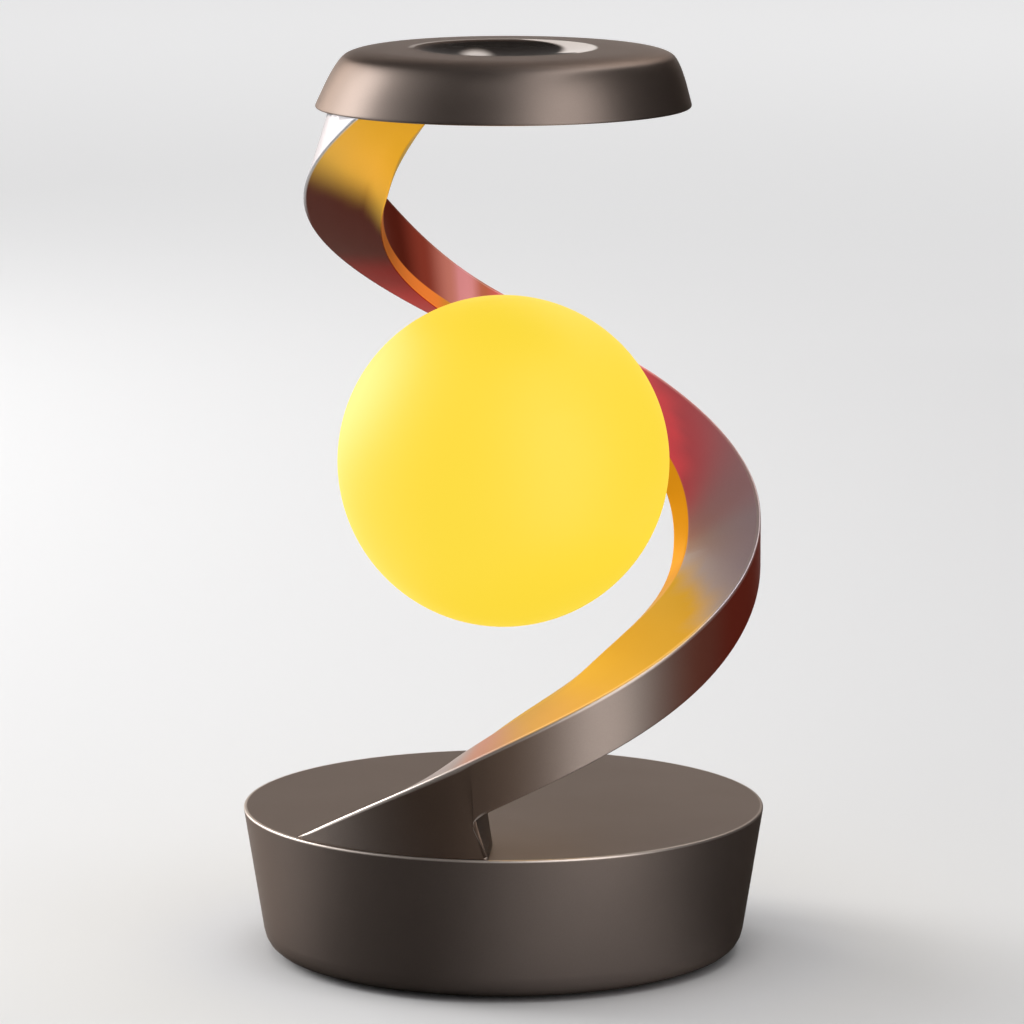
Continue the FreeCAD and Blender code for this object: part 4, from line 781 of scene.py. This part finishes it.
# The painted glow stands in for the globe's light falling on the arm.
painted_glow_colour = node(painted_light_tree, "ShaderNodeAttribute", attribute_name="painted_glow")
painted_light_tree.links.new(painted_glow_colour.outputs["Color"], painted_light_shader.inputs["Emission Color"])
painted_light_shader.inputs["Emission Strength"].default_value = 1
arm_mesh.materials.append(arm_painted_light)
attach(arm, "lamp_frame")
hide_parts("arm_shell", "arm_cover")

cable_skin, _ = finish("cable_skin", (0.02, 0.02, 0.02), 0.5)
dress(cable_skin, "arm_cable")
dress(plain_steel, "arm_foot_screws")


# ---- magnetic seat ---------------------------------------------------------------------------------
# Turned cup in the arm's inner edge, painted like the arm, with gold contacts over its magnet.

nickel, _ = finish("nickel_plate", (0.7, 0.68, 0.64), 0.22, metallic=1.0)
gold, _ = finish("gold_plate", (0.9, 0.62, 0.22), 0.25, metallic=1.0)
dress(arm_paint, "seat_housing")
dress(nickel, "seat_magnet")
dress(gold, "contact_studs")


# ---- globe -----------------------------------------------------------------------------------------
# Opal globe, lit from inside. It is moulded in one piece with an opening for its socket, which turns
# on the steel coupler that the magnet holds.

globe_low, globe_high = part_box("globe_shell")
GLOBE_OPENING = 0.0147
GLOBE_LIP_ROUND = 0.0001
GLOBE_LIP = 0.0014
SOCKET_BORE = 0.0125
SOCKET_BORE_DEPTH = 0.0075
SEAT_ANGLE = math.radians(41)
GLOBE_STEPS = 96
GLOBE_SEGMENTS = 144
OPAL = (0.06, 0.03, 0.001, 1)
OPAL_ROUGHNESS = 0.58
OPAL_GLOWS = ((1.0, 0.72, 0.042, 1), (1.0, 0.75, 0.050, 1))
OPAL_GLOW_STRENGTH = 0.95
OPAL_CLOUD_SCALE = 14
globe_level = (globe_low.z + globe_high.z) / 2
globe_outline = []
opening_angle = math.asin(GLOBE_OPENING / GLOBE_RADIUS)
for step in range(GLOBE_STEPS + 1):
    angle = math.pi - (math.pi - opening_angle) * step / GLOBE_STEPS
    globe_outline.append(Vector((GLOBE_RADIUS * math.sin(angle), GLOBE_RADIUS * math.cos(angle))))
lip = globe_outline[-1]
globe_outline += [
    Vector((lip.x - GLOBE_LIP_ROUND, lip.y - GLOBE_LIP_ROUND)),
    Vector((lip.x, lip.y - GLOBE_LIP)),
    Vector((SOCKET_BORE, lip.y - GLOBE_LIP)),
    Vector((SOCKET_BORE, lip.y - SOCKET_BORE_DEPTH)),
]
globe = turned("globe_ball", globe_outline, GLOBE_SEGMENTS)
globe.data.transform(outwards(SEAT_ANGLE, globe_level))
glow = bpy.data.materials.new("lit_opal")
glow.use_nodes = True
glow_tree = glow.node_tree
glow_shader = glow_tree.nodes["Principled BSDF"]
glow_place = node(glow_tree, "ShaderNodeTexCoord")
cloud = node(glow_tree, "ShaderNodeTexNoise")
cloud.inputs["Scale"].default_value = OPAL_CLOUD_SCALE
cloud.inputs["Detail"].default_value = 1
glow_tree.links.new(glow_place.outputs["Object"], cloud.inputs["Vector"])
glow_tree.links.new(
    mixed(glow_tree, cloud.outputs["Fac"], *OPAL_GLOWS),
    glow_shader.inputs["Emission Color"])
glow_shader.inputs["Emission Strength"].default_value = OPAL_GLOW_STRENGTH
glow_shader.inputs["Base Color"].default_value = OPAL
glow_shader.inputs["Roughness"].default_value = OPAL_ROUGHNESS
globe.data.materials.append(glow)
# The arm's painted light already holds the globe's light and its reflection, so gloss doesn't mirror the
# globe as well.
globe.visible_glossy = False
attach(globe, "globe")
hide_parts("globe_shell")

post_metal, _ = finish("post_aluminium", (0.8, 0.8, 0.81), 0.35, metallic=1.0)
light_lens, _ = finish("phosphor", (0.95, 0.8, 0.3), 0.4)
dress(black_plastic, "globe_socket")
dress(plain_steel, "coupler_cup", "post_screws")
dress(nickel, "coupler_magnet")
dress(gold, "contact_rings")
dress(post_metal, "light_post", "light_board")
dress(light_lens, "light_sources")

# The light that the globe throws on the arm, from just outside its skin. It moves with the globe.
SHINE_RADIUS = 0.0505
SHINE_POWER = 0.2
SHINE_COLOUR = (1.0, 0.62, 0.06)
shine = bpy.data.lights.new("globe_shine", "POINT")
shine.energy = SHINE_POWER
shine.color = SHINE_COLOUR
shine.shadow_soft_size = SHINE_RADIUS
shine_object = bpy.data.objects.new("globe_shine", shine)
shine_object.location = (0, 0, globe_level)
shine_object.visible_camera = False
bpy.context.scene.collection.objects.link(shine_object)
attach(shine_object, "globe")


# ---- cap -------------------------------------------------------------------------------------------
# Turned and painted dome with a shallow finger dish over the touch sensor. Its crown sits a little to
# the right of its lower rim. A moulded plate closes it from below.

CAP_TOP = cap_high.z
CAP_SHOULDER = 0.0124
CROWN_RADIUS = 0.0475
SHOULDER_RADIUS = 0.0519
DISH_RADIUS = 0.027
DISH_DEPTH = 0.0019
DISH_LIP = 0.004
DISH_SOFTENING = 0.04
DISH_STEPS = 60
CAP_WALL = 0.0032
# The crown's shift to the right grows with height up to this many shoulder heights.
CROWN_SHIFT = 0.0013
SHIFT_LIMIT = 1.2
# How far the crown falls to its corner, and where the bends at the shoulder start on the crown and end
# on the side, as shares of each.
CROWN_FALL = 0.0004
CROWN_FLAT = 0.4
SIDE_BEND = 0.6
BEND_STEPS = 16
SIDE_RINGS = (0.7, 0.8, 0.9)
LOWER_EDGE_ROUND = 0.0009
# The hollow inside: the ledge for the plate, the set-back at the shoulder and the crown's wall.
PLATE_LEDGE = 0.0025
SHOULDER_SETBACK = 0.001
CROWN_SETBACK = 0.003
CROWN_WALL = 0.0045


def soft_turn(start, corner, end, steps):
    """Points of a curve from start to end that turns at the corner."""
    shares = [step / steps for step in range(steps + 1)]
    return [start * (1 - s) ** 2 + corner * 2 * s * (1 - s) + end * s ** 2 for s in shares]


side_low = Vector((CAP_RADIUS, CAP_UNDERSIDE))
side_high = Vector((SHOULDER_RADIUS, CAP_UNDERSIDE + CAP_SHOULDER))
crown_corner = Vector((CROWN_RADIUS, CAP_TOP - CROWN_FALL))
crown_start = Vector((DISH_RADIUS + DISH_LIP, CAP_TOP))
half_way = (crown_corner + side_high) / 2
crown = soft_turn(crown_start.lerp(crown_corner, CROWN_FLAT), crown_corner, half_way, BEND_STEPS)
crown += soft_turn(half_way, side_high, side_high.lerp(side_low, SIDE_BEND), BEND_STEPS)
crown += [side_high.lerp(side_low, share) for share in SIDE_RINGS]
crown += bend(side_high, side_low, Vector((0.0, CAP_UNDERSIDE)), LOWER_EDGE_ROUND)
crown.append(Vector((CAP_RADIUS - CAP_WALL, CAP_UNDERSIDE)))
dish = []
for step in range(DISH_STEPS):
    radius = (DISH_RADIUS + DISH_LIP) * step / DISH_STEPS
    hollow = max(0.0, 1 - (radius / DISH_RADIUS) ** 2)
    near_lip = eased(0, 1, (radius - DISH_RADIUS + DISH_LIP) / (2 * DISH_LIP))
    soft = hollow - DISH_SOFTENING + 2 * DISH_SOFTENING * near_lip
    dish.append(Vector((radius, CAP_TOP - DISH_DEPTH * max(0.0, soft))))
inside = [
    Vector((CAP_RADIUS - CAP_WALL, CAP_UNDERSIDE + PLATE_LEDGE)),
    Vector((SHOULDER_RADIUS - CAP_WALL - SHOULDER_SETBACK, CAP_UNDERSIDE + CAP_SHOULDER - SHOULDER_SETBACK)),
    Vector((CROWN_RADIUS - CROWN_SETBACK, CAP_TOP - CROWN_WALL)),
    Vector((0, CAP_TOP - CROWN_WALL)),
]
cap = turned("cap_dome", dish + crown + inside)
for vertex in cap.data.vertices:
    radius = Vector((vertex.co.x, vertex.co.y)).length
    share = (vertex.co.z - CAP_UNDERSIDE) / CAP_SHOULDER
    vertex.co.x += CROWN_SHIFT * min(share, SHIFT_LIMIT) * eased(DISH_RADIUS, CROWN_RADIUS, radius)

# Painted highlights and painted shade lie on the cap's top only, above this level.
TOP_LEVEL = CAP_TOP - 0.004
HIGHLIGHT_REACH = 0.04
# A thin painted highlight along the rear of the lip: its strength, azimuths, radius, half its width and, as
# shares of that, where it fades.
LIP_HIGHLIGHT = 0.45
LIP_HIGHLIGHT_AZIMUTHS = (20, 185)
LIP_SOFT = 20
LIP_LINE_RADIUS = DISH_RADIUS + 0.0005
LIP_LINE_WIDTH = 0.0008
LIP_LINE_FADES = (0.6, 1.4)
# A painted reflection, bright on the dish's right wall, which narrows towards the rear. It is measured
# inwards from its outer radius and fades near its full width and across the lip.
WALL_HIGHLIGHT_AZIMUTHS = (-40, 80)
WALL_SOFT = 5
WALL_WIDENS = (-38, -22)
WALL_NARROWS = (-6, 96)
WALL_LEAST_WIDTH = 0.0004
WALL_WIDTH = 0.0105
WALL_OUTER_RADIUS = DISH_RADIUS + 0.0006
WALL_FADES = (0.75, 1.1)
WALL_ENDS = (DISH_RADIUS + 0.0004, DISH_RADIUS + 0.0016)
# A painted highlight spot in the dish: its middle, half its sizes, its strength and where it fades.
HIGHLIGHT_SPOT_PLACE = (-0.008, -0.006)
HIGHLIGHT_SPOT_SIZE = (0.0065, 0.021)
HIGHLIGHT_SPOT_SHARE = 0.9
HIGHLIGHT_SPOT_FADES = (0.2, 1.0)


def lip_share(place):
    """Strength of the painted highlights on the dish at a place: along its lip, on its right wall and in a
    spot in the dish.
    """
    radius = place.xy.length
    if place.z < TOP_LEVEL or radius > HIGHLIGHT_REACH:
        return 0.0
    azimuth = math.degrees(math.atan2(place.y, place.x))
    lip = LIP_HIGHLIGHT * window(*LIP_HIGHLIGHT_AZIMUTHS, LIP_SOFT, azimuth)
    lip *= 1 - eased(*LIP_LINE_FADES, abs(radius - LIP_LINE_RADIUS) / LIP_LINE_WIDTH)
    wide = WALL_LEAST_WIDTH + WALL_WIDTH * eased(*WALL_WIDENS, azimuth) * (1 - eased(*WALL_NARROWS, azimuth))
    wall = window(*WALL_HIGHLIGHT_AZIMUTHS, WALL_SOFT, azimuth)
    wall *= 1 - eased(*WALL_FADES, (WALL_OUTER_RADIUS - radius) / wide)
    wall *= 1 - eased(*WALL_ENDS, radius)
    rest = Vector(((place.x - HIGHLIGHT_SPOT_PLACE[0]) / HIGHLIGHT_SPOT_SIZE[0], (place.y - HIGHLIGHT_SPOT_PLACE[1]) / HIGHLIGHT_SPOT_SIZE[1])).length
    return max(lip, wall, HIGHLIGHT_SPOT_SHARE * (1 - eased(*HIGHLIGHT_SPOT_FADES, rest)))


# The radii between which the painted shade in the dish runs out.
DISH_SHADE_ENDS = (DISH_RADIUS - 0.006, DISH_RADIUS + 0.003)


def dish_shade_share(place):
    """How much painted shade and painted dark reflection a place in the dish gets, none where a painted
    highlight lies.
    """
    if place.z < TOP_LEVEL:
        return 0.0
    return (1 - lip_share(place)) * (1 - eased(*DISH_SHADE_ENDS, place.xy.length))


CAP_SATIN = 0.34
CAP_METAL_SHARE = 0.92
HIGHLIGHT_METAL_SHARE = 0.15
# Darker paint and a darker glancing gloss in the dish: painted shade and a painted dark reflection.
DISH_SHADE_COLOUR = (0.045, 0.033, 0.026, 1)
DISH_SHADE_TINT = (0.10, 0.08, 0.07, 1)
cap_paint, cap_shader = finish("cap_paint", BRONZE, CAP_SATIN, metallic=CAP_METAL_SHARE)
cap_tree = cap_paint.node_tree
# The point attribute hollow holds the dish's painted shade.
dish_shade_mark = cap.data.attributes.new("hollow", "FLOAT", "POINT")
dish_shade_mark.data.foreach_set("value", [dish_shade_share(vertex.co) for vertex in cap.data.vertices])
dish_shade_node = node(cap_tree, "ShaderNodeAttribute", attribute_name="hollow")
cap_tree.links.new(
    mixed(cap_tree, dish_shade_node.outputs["Fac"], cap_shader.inputs["Base Color"].links[0].from_socket,
          DISH_SHADE_COLOUR),
    cap_shader.inputs["Base Color"])
cap_tree.links.new(
    mixed(cap_tree, dish_shade_node.outputs["Fac"], GLANCING_TINT, DISH_SHADE_TINT),
    cap_shader.inputs["Specular Tint"])
store_painted_highlight(cap, lip_share)
show_painted_highlight(cap_paint, cap_shader)
# Where the painted highlight lies the paint is less metallic, so that it shows pale.
painted_highlight_node = node(cap_tree, "ShaderNodeAttribute", attribute_name="painted_highlight")
metal_share = node(cap_tree, "ShaderNodeMix")
cap_tree.links.new(painted_highlight_node.outputs["Fac"], metal_share.inputs["Factor"])
metal_share.inputs["A"].default_value = CAP_METAL_SHARE
metal_share.inputs["B"].default_value = HIGHLIGHT_METAL_SHARE
cap_tree.links.new(metal_share.outputs["Result"], cap_shader.inputs["Metallic"])
cap.data.materials.append(cap_paint)
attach(cap, "lamp_frame")
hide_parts("cap_shell")
cap_plate_finish, _ = finish("cap_plate_moulding", (0.06, 0.05, 0.044), 0.5, grain=0.2)
dress(cap_plate_finish, "cap_bottom_plate")
dress(solder_mask, "touch_board")
dress(gold, "touch_electrode")
dress(plain_steel, "cap_screws", "arm_head_screws", "touch_screws")


# ---- floor, light and camera -----------------------------------------------------------------------
# Plain pale floor under soft studio light from the left, seen a little from above. Dark cloths and lit
# cards stand and hang round the lamp. Only gloss shows them, as dark and light bands in the paint.

REACH = 14
FLOOR_COLOUR = (0.76, 0.755, 0.75, 1)
FLOOR_ROUGHNESS = 0.9
# Far from the lamp the floor looks brighter, so that it runs into the backdrop.
FLOOR_BRIGHTENS = (0.4, 3.2)
FLOOR_FAR_GLOW = (0.42, 0.42, 0.42, 1)
floor_mesh = bpy.data.meshes.new("studio_floor")
floor_mesh.from_pydata([(-REACH, -REACH, 0), (REACH, -REACH, 0), (REACH, REACH, 0), (-REACH, REACH, 0)],
                       [], [(0, 1, 2, 3)])
floor = bpy.data.objects.new("studio_floor", floor_mesh)
bpy.context.scene.collection.objects.link(floor)
floor_finish = bpy.data.materials.new("pale_floor")
floor_finish.use_nodes = True
floor_tree = floor_finish.node_tree
floor_shader = floor_tree.nodes["Principled BSDF"]
floor_shader.inputs["Base Color"].default_value = FLOOR_COLOUR
floor_shader.inputs["Roughness"].default_value = FLOOR_ROUGHNESS
floor_place = node(floor_tree, "ShaderNodeTexCoord")
floor_reach = node(floor_tree, "ShaderNodeVectorMath", operation="LENGTH")
floor_tree.links.new(floor_place.outputs["Object"], floor_reach.inputs[0])
floor_far = node(floor_tree, "ShaderNodeMapRange", interpolation_type="SMOOTHSTEP")
floor_far.inputs["From Min"].default_value = FLOOR_BRIGHTENS[0]
floor_far.inputs["From Max"].default_value = FLOOR_BRIGHTENS[1]
floor_tree.links.new(floor_reach.outputs["Value"], floor_far.inputs["Value"])
floor_path = node(floor_tree, "ShaderNodeLightPath")
floor_seen = node(floor_tree, "ShaderNodeMath", operation="MULTIPLY")
floor_tree.links.new(floor_far.outputs["Result"], floor_seen.inputs[0])
floor_tree.links.new(floor_path.outputs["Is Camera Ray"], floor_seen.inputs[1])
floor_tree.links.new(
    mixed(floor_tree, floor_seen.outputs["Value"], (0, 0, 0, 1), FLOOR_FAR_GLOW),
    floor_shader.inputs["Emission Color"])
floor_shader.inputs["Emission Strength"].default_value = 1
floor_mesh.materials.append(floor_finish)

# The backdrop is white to the eye and in gloss, and lights the lamp as a plain grey.
BACKDROP = (1, 1, 1, 1)
ROOM_LIGHT = (0.40, 0.40, 0.41, 1)
world = bpy.data.worlds.new("studio_world")
bpy.context.scene.world = world
world.use_nodes = True
sky = world.node_tree
background = sky.nodes["Background"]
path = node(sky, "ShaderNodeLightPath")
seen = node(sky, "ShaderNodeMath", operation="MAXIMUM")
also_seen = node(sky, "ShaderNodeMath", operation="MAXIMUM")
sky.links.new(path.outputs["Is Camera Ray"], seen.inputs[0])
sky.links.new(path.outputs["Is Transmission Ray"], seen.inputs[1])
sky.links.new(seen.outputs["Value"], also_seen.inputs[0])
sky.links.new(path.outputs["Is Glossy Ray"], also_seen.inputs[1])
sky.links.new(mixed(sky, also_seen.outputs["Value"], ROOM_LIGHT, BACKDROP), background.inputs["Color"])


def veil(name, columns, shares, colour, glow_strength):
    """Cloth or lit card that only gloss shows, from columns of points and how full each column is."""
    rows = len(columns[0])
    faces = []
    for column in range(len(columns) - 1):
        for row in range(rows - 1):
            here = column * rows + row
            faces.append((here, here + 1, here + 1 + rows, here + rows))
    veil_mesh = bpy.data.meshes.new(name)
    veil_mesh.from_pydata([point for column in columns for point in column], [], faces)
    cover = veil_mesh.attributes.new("cover", "FLOAT", "POINT")
    cover.data.foreach_set("value", [share for share in shares for row in range(rows)])
    piece = bpy.data.objects.new(name, veil_mesh)
    bpy.context.scene.collection.objects.link(piece)
    look = bpy.data.materials.new(name)
    look.use_nodes = True
    tree = look.node_tree
    shader = tree.nodes["Principled BSDF"]
    shader.inputs["Base Color"].default_value = (*colour, 1)
    shader.inputs["Emission Color"].default_value = (*colour, 1)
    shader.inputs["Emission Strength"].default_value = glow_strength
    covering = node(tree, "ShaderNodeAttribute", attribute_name="cover")
    clear = node(tree, "ShaderNodeBsdfTransparent")
    thinned = node(tree, "ShaderNodeMixShader")
    tree.links.new(covering.outputs["Fac"], thinned.inputs["Fac"])
    tree.links.new(clear.outputs["BSDF"], thinned.inputs[1])
    tree.links.new(shader.outputs["BSDF"], thinned.inputs[2])
    tree.links.new(thinned.outputs["Shader"], tree.nodes["Material Output"].inputs["Surface"])
    veil_mesh.materials.append(look)
    piece.visible_camera = False
    piece.visible_diffuse = False
    piece.visible_shadow = False
    piece.visible_transmission = False


DARK = (0.020, 0.011, 0.006)
CREAM_LIGHT = (1.0, 0.97, 0.95)
# Bands that stand or lie round the lamp: name, azimuths where each starts, is full, is full to and ends,
# its outline as (distance, height), its colour and what it gives off.
BANDS = [
    ("front_cloth", -184, -142, -116, -62, [(0.05, 0.0006), (1.3, 0.0006), (1.3, 0.25)], DARK, 0),
    ("high_cloth", -176, -134, -102, -66, [(1.3, 0.25), (1.3, 1.4)], DARK, 0),
    ("rear_cloth", -52, -6, 52, 88, [(0.05, 0.0006), (1.3, 0.0006), (1.3, 1.1)], DARK, 0),
    ("floor_card", -72, -58, -44, -30, [(0.22, 0.0008), (1.1, 0.0008)], CREAM_LIGHT, 2.4),
    ("standing_card", -82, -60, -44, -18, [(1.2, 0.12), (1.2, 1.3)], CREAM_LIGHT, 2.0),
]
VEIL_COLUMNS = 48
for name, low, full_low, full_high, high, outline, colour, glow_strength in BANDS:
    columns = []
    shares = []
    for column in range(VEIL_COLUMNS + 1):
        azimuth = low + (high - low) * column / VEIL_COLUMNS
        angle = math.radians(azimuth)
        columns.append([(r * math.cos(angle), r * math.sin(angle), z) for r, z in outline])
        shares.append(eased(low, full_low, azimuth) * (1 - eased(full_high, high, azimuth)))
    veil(name, columns, shares, colour, glow_strength)

# Flat cloths and cards: name, the X where each starts, is full, is full to and ends, its two edges as
# (y, z), its colour and what it gives off.
CEILING = [(-1.5, 2.1), (1.3, 2.1)]
FLATS = [
    ("ceiling_cloth", -2.2, -0.95, 0.0, 0.62, CEILING, DARK, 0),
    ("ceiling_card", 0.25, 0.6, 0.85, 1.2, CEILING, CREAM_LIGHT, 2.8),
    ("right_cloth", 1.0, 1.5, 2.6, 3.2, CEILING, DARK, 0),
    ("back_cloth", -1.2, -0.7, -0.05, 0.3, [(1.35, 0.85), (1.35, 2.1)], DARK, 0),
    ("back_grey_cloth", -0.8, -0.4, 0.4, 0.8, [(1.35, 0.45), (1.35, 0.85)], (0.76, 0.72, 0.70), 0),
    ("back_card", 0.1, 0.35, 0.75, 1.05, [(1.35, 0.85), (1.35, 2.0)], CREAM_LIGHT, 1.9),
]
for name, low, full_low, full_high, high, edges, colour, glow_strength in FLATS:
    places = [low + (high - low) * column / VEIL_COLUMNS for column in range(VEIL_COLUMNS + 1)]
    columns = [[(x, y, z) for y, z in edges] for x in places]
    shares = [eased(low, full_low, x) * (1 - eased(full_high, high, x)) for x in places]
    veil(name, columns, shares, colour, glow_strength)

# Name, place, width, height, power and whether gloss shows it. All face the middle of the lamp.
AIM_HEIGHT = 0.14
LAMPS = [
    ("key_light", (-1.50, 0.66, 0.80), 0.8, 1.1, 19, True),
    ("rear_light", (-1.05, 1.30, 0.45), 0.5, 1.2, 8, True),
    ("top_light", (0.1, -0.2, 2.2), 1.6, 1.6, 20, False),
]
for name, position, width, height, power, in_gloss in LAMPS:
    lamp = bpy.data.lights.new(name, "AREA")
    lamp.shape = "RECTANGLE"
    lamp.size = width
    lamp.size_y = height
    lamp.energy = power
    lamp_object = bpy.data.objects.new(name, lamp)
    lamp_object.location = position
    aim = Vector((0, 0, AIM_HEIGHT)) - Vector(position)
    lamp_object.rotation_euler = aim.to_track_quat("-Z", "Y").to_euler()
    lamp_object.visible_glossy = in_gloss
    bpy.context.scene.collection.objects.link(lamp_object)

SENSOR_WIDTH = 36
LENS = 218
CAMERA_PLACE = (0.00258, -1.8438, 0.4487)
CAMERA_TILT = math.radians(80.324)
camera_data = bpy.data.cameras.new("camera")
camera_data.sensor_width = SENSOR_WIDTH
camera_data.lens = LENS
camera = bpy.data.objects.new("camera", camera_data)
camera.location = CAMERA_PLACE
camera.rotation_euler = (CAMERA_TILT, 0, 0)
bpy.context.scene.collection.objects.link(camera)
bpy.context.scene.camera = camera
bpy.context.scene.view_settings.view_transform = "Standard"
